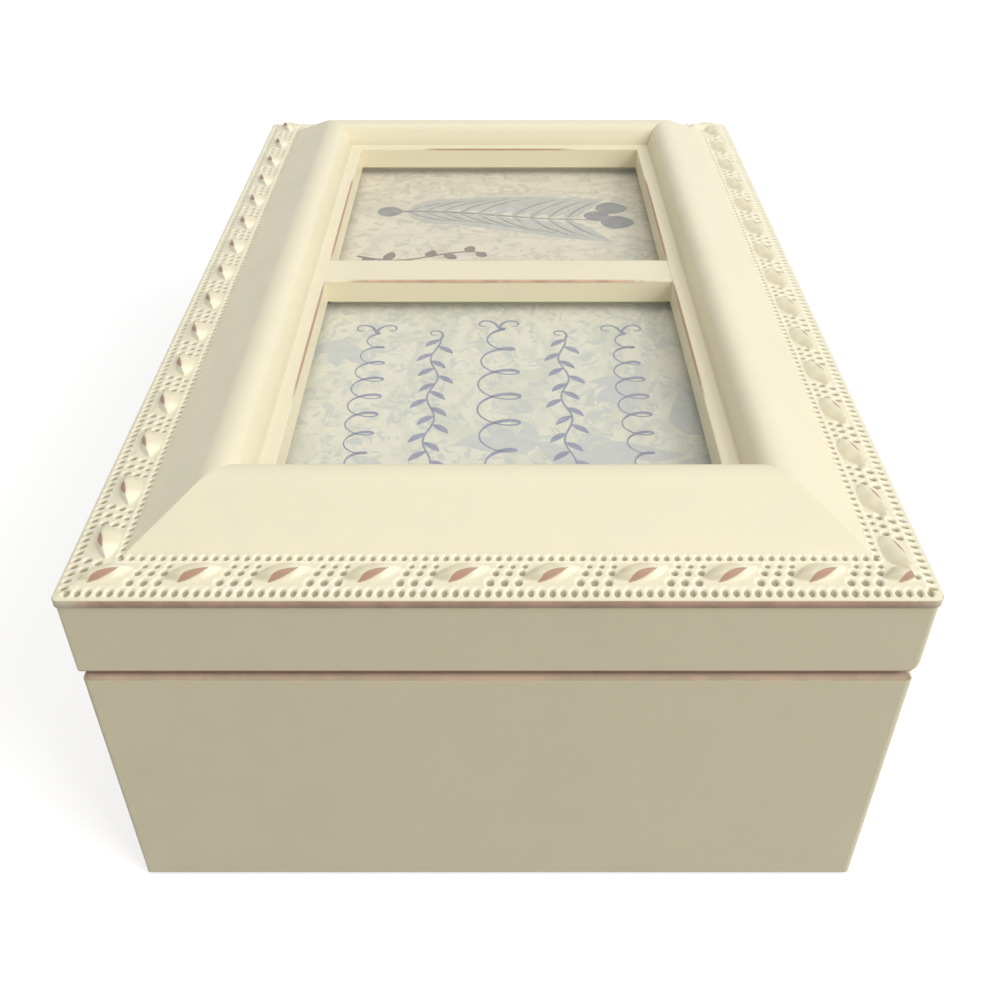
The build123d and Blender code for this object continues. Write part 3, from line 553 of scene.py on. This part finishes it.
def pulled_in(points, amount):
    """The outline moved inwards by amount, for the fine groove at a mitre."""
    pts = np.array(points)
    ahead = np.roll(pts, -1, axis=0) - np.roll(pts, 1, axis=0)
    ahead /= np.linalg.norm(ahead, axis=1)[:, None]
    area = np.sum(pts[:, 0] * np.roll(pts[:, 1], -1) - np.roll(pts[:, 0], -1) * pts[:, 1])
    inward = np.stack([-ahead[:, 1], ahead[:, 0]], axis=1) * (1 if area > 0 else -1)
    return pts + inward * amount


def along_window(side, share):
    """How rubbed the window's edge is at that share of a side: most in the middle of each window."""
    start, ahead, _, length = sides[side][:4]
    if ahead[0]:
        at = abs(start[0] + ahead[0] * length * share)
        low, high = divider_half, half_length - window_inset
    else:
        at = start[1] + ahead[1] * length * share
        low, high = window_inset - half_width, half_width - window_inset
    part = (at - low) / (high - low)
    return sin(pi * part) ** 0.25 if 0 < part < 1 else 0.0


def moulding(side):
    outline, wear = rail_outline()
    length, corner_start, corner_end = sides[side][3:]
    shares = share_columns(length, corner_start, corner_end)
    rings, worn, painted_light_and_wear_marks = [], [], []
    for index, share in enumerate(shares):
        at_end = index in (0, len(shares) - 1)
        pts = pulled_in(outline, 0.04) if at_end else np.array(outline)
        s, n = along_side(length, corner_start, corner_end, pts[:, 0], share)
        rings.append(on_lid(side, s, n, pts[:, 1]))
        held = along_window(side, share)
        corner = 0.3 * (index < 4) + 0.3 * (index > len(shares) - 5)
        for place, w in zip(pts, wear):
            on_window = place[0] > crest_inset
            worn.append(w * held if on_window else min(1.0, w + corner * (place[0] < 1.5)))
            # The crease inside the crest gets painted shade, and the window's rubbed edges a darker brown
            in_crease = on_window and w == crease_wear
            painted_light_and_wear_marks.append(0.35 if in_crease else 0.5 * w * held * on_window)
    mesh = made_mesh("moulding_" + side, np.concatenate(rings), lofted(rings), wear=worn, pit=painted_light_and_wear_marks)
    if side != "front":
        bevel_back_edge(mesh)
    obj = shown("moulding_" + side, mesh, paint, "lid", 28.0)
    if side == "back":
        cut_hinge_pockets(obj)
    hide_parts("rail_" + side)


def bevel_back_edge(mesh):
    """Cuts away the wedge behind the hinge line, so the lid can open past upright."""
    work = bmesh.new()
    work.from_mesh(mesh)
    apex = hinge_line[0] - bevel_gap / sin(bevel_angle)
    cut = bmesh.ops.bisect_plane(
        work, geom=work.verts[:] + work.edges[:] + work.faces[:], dist=1e-7,
        plane_co=(0, apex * MM, hinge_line[1] * MM), plane_no=(0, sin(bevel_angle), -cos(bevel_angle)),
        clear_outer=True,
    )
    edges = [e for e in cut["geom_cut"] if isinstance(e, bmesh.types.BMEdge)]
    bmesh.ops.holes_fill(work, edges=edges)
    work.to_mesh(mesh)
    work.free()


def cut_hinge_pockets(obj):
    """Recesses for the lid leaves and the knuckles, a little larger than the CAD leaves."""
    cutters = []
    for name in ("left", "right"):
        low, high = box("hinge_lid_leaf_" + name)
        block = bmesh.new()
        bmesh.ops.create_cube(block, size=1.0)
        y0, y1 = low[1] - leaf_room, hinge_line[0]
        z0, z1 = hinge_line[1] - 1.0, hinge_line[1] + 0.9
        middle = ((low[0] + high[0]) / 2, (y0 + y1) / 2, (z0 + z1) / 2)
        size = (high[0] - low[0] + 2 * leaf_room, y1 - y0, z1 - z0)
        bmesh.ops.scale(block, vec=Vector(size) * MM, verts=block.verts)
        bmesh.ops.translate(block, vec=Vector(middle) * MM, verts=block.verts)
        tube = bmesh.new()
        bmesh.ops.create_cone(
            tube, cap_ends=True, segments=40, radius1=knuckle_room * MM, radius2=knuckle_room * MM,
            depth=size[0] * MM, matrix=Matrix.Rotation(pi / 2, 4, "Y"),
        )
        bmesh.ops.translate(
            tube, vec=Vector((middle[0], hinge_line[0], hinge_line[1])) * MM, verts=tube.verts
        )
        for part in (block, tube):
            mesh = bpy.data.meshes.new("cutter")
            part.to_mesh(mesh)
            part.free()
            cutters.append(new_object("cutter", mesh))
    for cutter in cutters:
        cut = obj.modifiers.new("pocket", "BOOLEAN")
        cut.operation = "DIFFERENCE"
        cut.solver = "EXACT"
        cut.object = cutter
    graph = bpy.context.evaluated_depsgraph_get()
    made = bpy.data.meshes.new_from_object(obj.evaluated_get(graph), depsgraph=graph)
    obj.modifiers.clear()
    obj.data = made
    for cutter in cutters:
        bpy.data.objects.remove(cutter)


# The carved border: a strip with rows of drilled beads between raised leaves

column_width = 0.2
row_width = 0.165
bead_pitch = 1.637
leaf_inset = 5.2
leaf_long = 4.5
leaf_high = 1.25
leaf_slant = radians(15)
rib_inset = 7.78
leaf_rows = {
    # place of the first leaf's middle, and the pitch
    "front": (4.8, 13.6), "right": (6.9, 13.78), "back": (9.7, 13.55), "left": (6.9, 13.78),
}
bead_rows = (
    # inset, half width, half height, depth
    (1.44, 0.6, 0.84, 0.45),
    (8.5, 0.54, 0.6, 0.36),
)
trio_rows = (
    # inset, first place after the leaf's middle, spacing, half width, half height, depth
    (3.4, 4.3, 2.17, 0.72, 0.84, 0.5),
    (5.35, 5.15, 2.05, 0.66, 0.76, 0.45),
    (6.85, 5.9, 1.9, 0.54, 0.58, 0.34),
)


def smooth(value, low, high):
    """0 below low, 1 above high, and a smooth step between."""
    t = np.clip((value - low) / (high - low), 0, 1)
    return t * t * (3 - 2 * t)


def lens(u, v, half_long, half_broad):
    """1 along the middle of a pointed leaf shape, falling to 0 at its outline."""
    room = 1 - (u / half_long) ** 2
    inside = 1 - np.abs(v) / np.maximum(half_broad * room, 1e-6)
    return np.where(room > 0, np.clip(inside, 0, 1), 0.0)


def relief(side, s, n):
    """The border's height above its ground, its painted light from -1, a painted highlight, to 1, painted
    shade and browned wear, and its wear.
    """
    length = sides[side][3]
    first, pitch = leaf_rows[side]
    last = int((length - first - 4.0) / pitch)
    nearest = np.clip(np.round((s - first) / pitch), 0, last)
    from_leaf = s - (first + nearest * pitch)
    # Leaves slant inwards along their length, steep and rubbed outside, gently falling inside
    u = from_leaf * cos(leaf_slant) + (n - leaf_inset) * sin(leaf_slant)
    v = -from_leaf * sin(leaf_slant) + (n - leaf_inset) * cos(leaf_slant)
    taper = np.clip(1 - (u / leaf_long) ** 2, 0, 1)
    ridge = -0.6 * taper
    outer = smooth(v, -1.75 * taper - 0.02, ridge)
    inner = 1 - np.clip((v - ridge) / (2.9 * taper + 0.02), 0, 1) ** 1.7
    leaf = np.where(v < ridge, outer, inner) * (taper > 0)
    height = leaf_high * leaf * np.sqrt(taper)
    rubbed = smooth(lens(u + 0.1, v + 0.84 - 0.15 * u, 2.6, 0.66), 0.05, 0.6)
    clear = 1 - smooth(leaf * np.sqrt(taper), 0.02, 0.12)
    body = 1 - clear
    # Painted shade on the leaves' left flanks, and a painted highlight on their right ends
    painted_flank_shade = 0.3 * body * (1 - rubbed) * smooth(-u, 0.4, 2.6)
    painted_tip_highlight = 0.7 * body * (1 - rubbed) * smooth(u, 0.2, 2.4)
    # A thin rib runs inside the leaves
    rib = np.exp(-(((n - rib_inset) / 0.26) ** 2))
    height += 0.12 * rib * (1 - body)
    # Two rows of small holes, and threes of larger ones between the leaves
    holes = []
    for inset, wide, high, depth in bead_rows:
        offset = (length / 2) % bead_pitch
        along = (s - offset + bead_pitch / 2) % bead_pitch - bead_pitch / 2
        at = s - along
        inside = (at > inset) & (at < length - inset)
        holes.append((np.hypot(along / wide, (n - inset) / high), depth, inside))
    for inset, start, spacing, wide, high, depth in trio_rows:
        for place in start + spacing * np.arange(3):
            for shift in (place, place - pitch):
                at = s - from_leaf + shift
                inside = (at > inset + 1.0) & (at < length - inset - 1.0)
                away = np.hypot((from_leaf - shift) / wide, (n - inset) / high)
                holes.append((away, depth, inside))
    deep = np.zeros_like(s)
    rim = np.zeros_like(s)
    for away, depth, inside in holes:
        hole = (1 - np.clip(away, 0, 1) ** 7) ** 2 * clear * inside
        height -= depth * hole
        deep = np.maximum(deep, hole)
        rim = np.maximum(rim, smooth(1.7 - away, 0.0, 0.5) * inside * clear)
    # Painted highlight on the edges round the holes and on the rib; the holes themselves get painted shade
    light = np.maximum(0.7 * rim, 0.6 * rib * (1 - body))
    pit = painted_flank_shade - painted_tip_highlight + deep - light * (1 - deep)
    # Rubbed sunk centres are browned further: their wear, deepened with painted shade
    pit = np.where(rubbed > 0.05, np.maximum(pit, 0.6 * rubbed), pit)
    return height, np.clip(pit, -1, 1), rubbed


def border(side):
    """A side's lip and carved border, as a closed strip of fine columns from mitre to mitre."""
    length, corner_start, corner_end = sides[side][3:]
    columns = int(ceil(length / column_width))
    # The lip's upright face and its two small rounds, as (inset, fall from the top)
    edge = ((0.1, lip_height), (0.0, lip_height - 0.1), (0.0, 0.22), (0.03, 0.1), (0.1, 0.03), (0.22, 0.0))
    flat = np.arange(0.42, border_width - 0.05, row_width)
    edge_insets, falls = zip(*edge)
    insets = np.array([*edge_insets, *flat, border_width])
    drop = np.zeros(len(insets))
    drop[: len(edge)] = falls
    shares = np.linspace(0, 1, columns + 1)
    grid_n, grid_u = np.meshgrid(insets, shares)
    s, n = along_side(length, corner_start, corner_end, grid_n, grid_u)
    z = border_top(grid_n) - drop[None, :]
    height, pit, rose = relief(side, s, n)
    fade = np.clip((grid_n - 0.4) / 0.25, 0, 1)
    wave = 0.03 * np.sin(s * 0.83 + n * 1.9) * np.sin(s * 0.41 - n * 0.7)
    z = z + (height + wave) * fade
    top = on_lid(side, s, n, z)
    rows = len(insets)
    base_s, base_n = along_side(length, corner_start, corner_end, border_width, shares)
    base = on_lid(side, base_s, base_n, lip_top - lip_height)
    vertices = np.concatenate([top.reshape(-1, 3), base])
    first_base = rows * (columns + 1)
    faces = []
    for c in range(columns):
        a = c * rows
        b = a + rows
        faces += [(a + r, a + r + 1, b + r + 1, b + r) for r in range(rows - 1)]
        faces.append((a + rows - 1, first_base + c, first_base + c + 1, b + rows - 1))
        faces.append((first_base + c, a, b, first_base + c + 1))
    faces.append(tuple(range(rows)) + (first_base,))
    last = columns * rows
    faces.append((first_base + columns,) + tuple(range(last + rows - 1, last - 1, -1)))
    # The lip's upright face is rubbed, less so near its ends, and on the long sides its round is too
    wear = rose.copy()
    kept = 1 - 0.45 * smooth(np.abs(shares - 0.5), 0.42, 0.49)
    round_wear = (0.35, 0.0) if side in ("left", "right") else (0.95, 0.9)
    for row, worn in enumerate((0.3, 0.9 * kept, 0.95 * kept, *round_wear)):
        wear[:, row] = worn
    unworn = np.zeros(columns + 1)
    # The relief's painted shade and highlights, faded out towards the lip, go with the wear
    wear, pit = (np.concatenate([values.reshape(-1), unworn]) for values in (wear, pit * fade))
    piece("border_" + side, vertices, faces, paint, "lid", "ivory_paint", 60.0, wear=wear, pit=pit)


def divider():
    """The bar between the windows: a T section laid across the lid."""
    low, high = box("divider_bar")
    reach = box("glass_left")[1][1] - rabbet_width + 0.3
    stem = divider_half - rabbet_width
    corners = [
        (-divider_half, glass_top, 0.15, 0.2), (-divider_half, high[2] - 0.8, 0, 0),
        (-divider_half, high[2], 0.5, 0.6), (-divider_half + 0.8, high[2], 0, 0),
        (divider_half - 0.7, high[2], 0, 0), (divider_half, high[2], 0.45, 0.95),
        (divider_half, high[2] - 0.7, 0, 0), (divider_half, glass_top, 0.15, 0.2),
        (stem, glass_top, 0, 0), (stem, low[2], 0, 0), (-stem, low[2], 0, 0), (-stem, glass_top, 0, 0),
    ]
    outline, wear = rounded(corners, 6)
    rings, worn = [], []
    for y in np.linspace(-reach, reach, 33):
        pts = pulled_in(outline, 0.06) if abs(y) == reach else np.array(outline)
        rings.append(np.stack([pts[:, 0], np.full(len(pts), y), pts[:, 1]], axis=1))
        held = along_window("right", 0.5 + y / (2 * half_width))
        worn += [w * held for w in wear]
    vertices = np.concatenate(rings)
    obj = piece("divider", vertices, lofted(rings), paint, "lid", "ivory_paint", 28.0, wear=worn)
    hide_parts("divider_bar")


# The printed cards under the glass: a sprig of grey leaves on one, scrolls on the other


def strips(lines, low, thick):
    """Closed flat strips on a card, each a line of (x, y, half width)."""
    vertices, faces = [], []
    for index, line in enumerate(lines):
        pts = np.array(line, dtype=float)
        ahead = np.gradient(pts[:, :2], axis=0)
        ahead /= np.linalg.norm(ahead, axis=1)[:, None]
        across = np.stack([-ahead[:, 1], ahead[:, 0]], axis=1) * pts[:, 2:3]
        left = pts[:, :2] + across
        right = pts[:, :2] - across
        first = len(vertices)
        # Each strip is a hair higher than the last, so that none shares a face where they cross
        high = low + thick + 0.002 * (index % 12)
        rings = [[(*a, low), (*b, low), (*b, high), (*a, high)] for a, b in zip(left, right)]
        faces += [tuple(first + i for i in face) for face in lofted(rings)]
        vertices += [point for ring in rings for point in ring]
    return vertices, faces


def leaf_line(x, y, heading, length, breadth, curl=0.3, fullness=0.8):
    """A leaf's middle line with its half widths, from its stalk at x, y."""
    line = []
    for t in np.linspace(0.0, 1.0, 17):
        turn = heading + curl * (t - 0.5)
        x_here = x + length * t * cos(turn)
        y_here = y + length * t * sin(turn)
        line.append((x_here, y_here, 0.04 + breadth * sin(pi * t) ** fullness * (1 - 0.25 * t)))
    return line


def curl_line(x, y, heading, size, turns, pen, side):
    """A stroke that starts at x, y and winds up into a curl; pen is half its width."""
    line = []
    count = 40
    step = size / count
    for i in range(count + 1):
        t = i / count
        line.append((x, y, pen * (1.0 - 0.6 * t)))
        heading += side * 2 * pi * turns * 2 * t / count
        x += step * cos(heading)
        y += step * sin(heading)
    return line


def loop_line(x0, x1, y, height, loops, pen):
    """A running row of slanted loops, thick on one stroke and thin on the other."""
    line = []
    for t in np.linspace(0.0, 1.0, 26 * loops):
        turn = 2 * pi * loops * t
        swell = sin(pi * t) ** 0.4
        rise = height * 0.5 * cos(turn) * swell
        x = x0 + (x1 - x0) * t - height * 0.34 * sin(turn) * swell
        line.append((x, y + rise, pen * (0.35 + 0.65 * max(0.0, sin(turn + 0.5)))))
    return line


def spray(x):
    """Stems and leaves of a long spray that lies across the card: vein lines, and the leaves."""
    stems, leaves, berries = [], [], []
    reach = 30.0
    stem = [(x + 2.6 * sin(2.2 * y / reach), y, 0.34 - 0.006 * y) for y in np.linspace(-reach, reach, 40)]
    stems.append(stem)
    for index, y in enumerate(np.arange(-24.0, 22.0, 4.6)):
        middle = x + 2.6 * sin(2.2 * y / reach)
        length = 19.0 - 0.1 * abs(y)
        for side in (-1, 1):
            heading = pi / 2 + side * (0.62 + 0.05 * index)
            leaves.append(leaf_line(middle, y, heading, length, 3.0, -0.35 * side))
            stems.append(leaf_line(middle, y, heading, length * 0.86, 0.22, -0.35 * side))
    for dx, dy, size in ((-4.6, 29.5, 4.2), (4.2, 30.5, 4.4), (0.4, 25.4, 3.4), (-2.4, -28.5, 3.4)):
        berries.append(leaf_line(x + dx, dy - size, pi / 2, 2 * size, size, 0.0, 0.55))
    return stems, leaves, berries


def twig(x, y):
    """A small brown twig with round leaves."""
    lines = [[(x + 2.4 * sin(t * 5.2), y + 30.0 * t, 0.42 - 0.2 * t) for t in np.linspace(0, 1, 40)]]
    for index, t in enumerate((0.06, 0.22, 0.4, 0.56, 0.72, 0.88, 0.98)):
        side = 1 if index % 2 else -1
        at = (x + 2.4 * sin(t * 5.2), y + 30.0 * t)
        lines.append(leaf_line(*at, pi / 2 + side * 1.0, 5.2 - 0.35 * index, 1.5, 0.4, 0.6))
    return lines


def scrolls(low_x, high_x):
    """Rows of loops along the card, with garlands of small leaves between, and pale leaves behind."""
    lines, leaves, pale = [], [], []
    for y, height, loops, inset, pen in (
        (-26.5, 6.2, 8, 10.0, 0.42), (0.0, 8.5, 6, 8.0, 0.52), (26.5, 6.2, 8, 10.0, 0.42),
    ):
        x0, x1 = low_x + inset, high_x - inset + 2.0
        lines.append(loop_line(x0, x1, y, height, loops, pen))
        for x, heading in ((x0, pi), (x1, 0.0)):
            for side in (-1, 1):
                lines.append(curl_line(x, y, heading + side * 0.3, 9.0, 0.8, 0.36, side))
    for y in (-13.3, 13.3):
        x0, x1 = low_x + 13.0, high_x - 9.0
        lines.append([(x, y + 0.9 * sin(0.42 * x), 0.2) for x in np.linspace(x0, x1, 80)])
        for index, x in enumerate(np.linspace(x0, x1, 17)):
            side = 1 if index % 2 else -1
            leaves.append(leaf_line(x, y + 0.9 * sin(0.42 * x), side * 0.95, 4.4, 0.8, -0.3 * side))
        for x, heading in ((x0, pi - 0.3), (x1, 0.3)):
            lines.append(curl_line(x, y + 0.9 * sin(0.42 * x), heading, 8.0, 0.9, 0.3, 1))
    leaf_places = ((56, 22), (64, 31), (48, 33), (66, 12), (60, 2), (70, -22), (38, 28), (20, -31))
    for index, (x, y) in enumerate(leaf_places):
        for turn in (-0.7, 0.1, 0.9):
            heading = turn + 0.8 * index
            pale.append(leaf_line(low_x - 5.0 + x, y, heading, 13.0 - 0.5 * index, 2.6, 0.7))
    return lines, leaves, pale


def printed_card(name, ground, layers):
    """The card, a little below the glass, with each layer of its print on top."""
    low, high = box("print_" + name)
    top = high[2] - 0.12
    (x0, y0), (x1, y1) = low[:2], high[:2]
    rings = [[(x0, y0, z), (x1, y0, z), (x1, y1, z), (x0, y1, z)] for z in (low[2], top)]
    slot = "printed_card_" + name
    board = piece("card_" + name, np.concatenate(rings), lofted(rings), ground, "lid", slot)
    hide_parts("print_" + name)
    for index, (label, color, lines) in enumerate(layers):
        vertices, faces = strips(lines, top - 0.01, 0.025 + 0.012 * index)
        piece("print_" + label, vertices, faces, color, "lid", slot)


def print_cards():
    stems, leaves, berries = spray(0.6 * box("print_left")[0][0])
    brown = twig(-22.5, -34.5)
    printed_card("left", card_left, (
        ("spray_leaves", ink_pale, leaves), ("spray_stems", ink_left, stems),
        ("berries", ink_dark, berries), ("twig", ink_left_warm, brown),
    ))
    lines, leaves, pale = scrolls(divider_half, half_length - window_inset)
    printed_card("right", card_right, (
        ("card_leaves", ink_faint, pale), ("garlands", ink_right, leaves), ("scrolls", ink_right, lines),
    ))


# Velvet linings and pad, and the felt feet

pad_gap = 0.3


def grid_steps(low, high, edge, coarse):
    """Places from low to high, close together within edge of each end."""
    close = edge * (1 - np.cos(np.linspace(0, pi / 2, 6)))
    count = max(2, int((high - low - 2 * edge) / coarse))
    inner = np.linspace(low + edge, high - edge, count + 1)
    return np.concatenate([low + close[:-1], inner, high - close[:-1][::-1]])


def cushion(name, node, axis, sign, edge, crown, body="case", notch=None):
    """A padded panel over a CAD node: flat behind, and crowned on the side that axis and sign say.

    u and v run along it. notch is the inner corner (u, v) of an L shape without its upper left part."""
    low, high = box(node)
    flat_axes = [i for i in range(3) if i != axis]
    u_low, v_low = low[flat_axes]
    u_high, v_high = high[flat_axes]
    back, face = (low[axis], high[axis]) if sign > 0 else (high[axis], low[axis])
    thick = abs(face - back)
    us = grid_steps(u_low, u_high, edge, 4.0)
    vs = grid_steps(v_low, v_high, edge, 4.0)
    if notch:
        for places, corner, way in ((us, notch[0], 1), (vs, notch[1], -1)):
            extra = corner + way * edge * (1 - np.cos(np.linspace(0, pi / 2, 6)))
            kept = places[np.abs(places - corner - way * edge / 2) > edge / 2 + 0.2]
            merged = np.sort(np.concatenate([kept, extra]))
            us, vs = (merged, vs) if way > 0 else (us, merged)
    gu, gv = np.meshgrid(us, vs, indexing="ij")
    away = np.minimum.reduce([gu - u_low, u_high - gu, gv - v_low, v_high - gv])
    if notch:
        beyond = np.stack([np.maximum(gu - notch[0], 0), np.maximum(notch[1] - gv, 0)])
        away = np.minimum(away, np.hypot(*beyond))
    inside = away >= -1e-6
    if notch:
        inside &= ~((gu < notch[0] - 1e-6) & (gv > notch[1] + 1e-6))
    rim = np.clip(away / edge, 0, 1)
    rise = np.sqrt(np.clip(1 - (1 - rim) ** 2, 0, 1))
    dips = 0.5 + 0.5 * np.sin(gu * 0.17 + 0.6 * np.sin(gv * 0.13)) * np.sin(gv * 0.15 + 1.1)
    fullness = smooth(away, 0.0, 14.0)
    depth = thick * (0.45 + 0.55 * rise) - crown * (1 - fullness) * rise * 0.6
    top = back + sign * (depth - crown * 0.25 * dips * fullness)

    def place(u, v, w):
        point = [0.0, 0.0, 0.0]
        point[flat_axes[0]], point[flat_axes[1]], point[axis] = u, v, w
        return point

    index = -np.ones(gu.shape, dtype=int)
    vertices = []
    for i, j in zip(*np.nonzero(inside)):
        index[i, j] = len(vertices) // 2
        vertices += [place(gu[i, j], gv[i, j], top[i, j]), place(gu[i, j], gv[i, j], back)]
    faces, edges = [], {}
    for i in range(len(us) - 1):
        for j in range(len(vs) - 1):
            ring = [index[i, j], index[i + 1, j], index[i + 1, j + 1], index[i, j + 1]]
            middle_u = (us[i] + us[i + 1]) / 2
            middle_v = (vs[j] + vs[j + 1]) / 2
            if min(ring) < 0 or (notch and middle_u < notch[0] and middle_v > notch[1]):
                continue
            faces.append(tuple(2 * k for k in ring))
            faces.append(tuple(2 * k + 1 for k in reversed(ring)))
            for a, b in zip(ring, ring[1:] + ring[:1]):
                if (b, a) in edges:
                    del edges[(b, a)]
                else:
                    edges[(a, b)] = True
    faces += [(2 * b, 2 * a, 2 * a + 1, 2 * b + 1) for a, b in edges]
    obj = piece(name, vertices, faces, pile, body, "velvet", 50.0)
    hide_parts(node)


def covered_board(name, node):
    """A thin board covered with velvet: a box with soft edges."""
    radius = 0.9
    low, high = box(node)
    steps = [grid_steps(low[i], high[i], radius, 5.0) for i in range(3)]
    vertices, faces, found = [], [], {}

    def corner(point):
        key = tuple(np.round(point, 4))
        if key not in found:
            found[key] = len(vertices)
            core = np.clip(point, low + radius, high - radius)
            out = point - core
            length = np.linalg.norm(out)
            vertices.append(core + out / length * radius if length > 0 else point)
        return found[key]

    for axis in range(3):
        a, b = [i for i in range(3) if i != axis]
        for end in (low[axis], high[axis]):
            for i in range(len(steps[a]) - 1):
                for j in range(len(steps[b]) - 1):
                    ring = []
                    for di, dj in ((0, 0), (1, 0), (1, 1), (0, 1)):
                        point = np.zeros(3)
                        point[axis] = end
                        point[a] = steps[a][i + di]
                        point[b] = steps[b][j + dj]
                        ring.append(corner(point))
                    faces.append(tuple(ring))
    obj = piece(name, vertices, faces, pile, "case", "velvet", 50.0)
    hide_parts(node)


def feet():
    """Four felt discs with soft edges, compressed a little at the rim."""
    low, high = box("felt_feet")
    radius = 4.0
    vertices, faces = [], []
    for x in (low[0] + radius, high[0] - radius):
        for y in (low[1] + radius, high[1] - radius):
            rings = []
            for inwards, z in ((0.2, low[2]), (0.0, low[2] + 0.2), (0.0, high[2] - 0.15), (0.15, high[2])):
                turn = np.linspace(0, 2 * pi, 48, endpoint=False)
                wobble = radius - inwards + 0.04 * np.sin(5 * turn + x)
                rings.append([(x + w * cos(a), y + w * sin(a), z) for w, a in zip(wobble - 0.04, turn)])
            first = len(vertices)
            faces += [tuple(first + i for i in face) for face in lofted(rings)]
            vertices += [point for ring in rings for point in ring]
    obj = piece("feet", vertices, faces, felt_brown, "case", "felt", 40.0)
    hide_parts("felt_feet")


for side in sides:
    moulding(side)
    border(side)
divider()
print_cards()
pad_corner = (box("partition_side")[1][0] + pad_gap, box("partition_front")[0][1] - pad_gap)
cushion("pad", "floor_pad", 2, 1, 2.0, 0.9, notch=pad_corner)
cushion("lid_cushion", "lid_lining", 2, -1, 1.2, 0.5, "lid")
for side, axis, sign in (("front", 1, 1), ("back", 1, -1), ("left", 0, 1), ("right", 0, -1)):
    cushion("panel_" + side, "lining_" + side, axis, sign, 0.9, 0.3)
covered_board("board_front", "partition_front")
covered_board("board_side", "partition_side")
feet()


# Camera, floor and light

camera_place = (0.2255, 0.00025, 0.186)
camera_down = 37.9
camera_lens = 39.64


def look():
    """The camera at the photo's viewpoint, fitted to the lid's corners and the case's upright edges."""
    camera = bpy.data.cameras.new("camera")
    camera.sensor_width = 36.0
    camera.lens = camera_lens
    camera.clip_start = 0.01
    obj = new_object("camera", camera)
    obj.location = camera_place
    obj.rotation_euler = (radians(90 - camera_down), 0, radians(90))
    bpy.context.scene.camera = obj


def floor():
    """A plain floor that the camera and reflections see as white, with the object's shadow on it."""
    half = 3000.0
    corners = [(-half, -half, 0), (half, -half, 0), (half, half, 0), (-half, half, 0)]
    mesh = made_mesh("floor", corners, [(0, 1, 2, 3)])
    p = Paint("floor", Roughness=0.9, Specular_IOR_Level=0.0, Emission_Color=(1.0, 1.0, 1.0, 1.0))
    path = p.node("ShaderNodeLightPath").outputs
    seen = p.math("MAXIMUM", path["Is Camera Ray"], path["Is Glossy Ray"])
    seen = p.math("MAXIMUM", seen, path["Is Transmission Ray"])
    p.finish(p.mix(seen, (0.2, 0.2, 0.2, 1.0), (0.6, 0.6, 0.6, 1.0)))
    p.put(p.shader.inputs["Emission Strength"], p.times(seen, 0.6))
    mesh.materials.append(p.material)
    obj = new_object("floor", mesh)


def sky():
    """A plain white world, seen at full strength and lighting the object at less."""
    world = bpy.data.worlds.new("sky")
    bpy.context.scene.world = world
    w = Nodes(world)
    w.tree.nodes.clear()
    path = w.node("ShaderNodeLightPath").outputs
    seen = w.math("MAXIMUM", path["Is Camera Ray"], path["Is Glossy Ray"])
    strength = w.node("ShaderNodeMapRange", ((0, seen), (3, 0.4), (4, 1.0))).outputs[0]
    white = w.node("ShaderNodeBackground", (("Color", (1, 1, 1, 1)), ("Strength", strength)))
    w.node("ShaderNodeOutputWorld", (("Surface", white.outputs[0]),))


def lamp(name, azimuth, elevation, distance, size, level):
    """A soft square lamp whose light, straight on, renders a colour at that level."""
    light = bpy.data.lights.new(name, "AREA")
    light.size = size
    light.energy = level * pi**2 * distance**2
    obj = new_object(name, light)
    a, e = radians(azimuth), radians(elevation)
    ray = Vector((cos(e) * cos(a), cos(e) * sin(a), sin(e)))
    obj.location = ray * distance
    obj.rotation_euler = ray.to_track_quat("Z", "Y").to_euler()


look()
floor()
sky()
lamp("top_light", 0, 90, 1.6, 1.2, 0.22)
lamp("side_light", 55, 38, 1.6, 0.9, 0.6)
bpy.context.scene.view_settings.view_transform = "Standard"
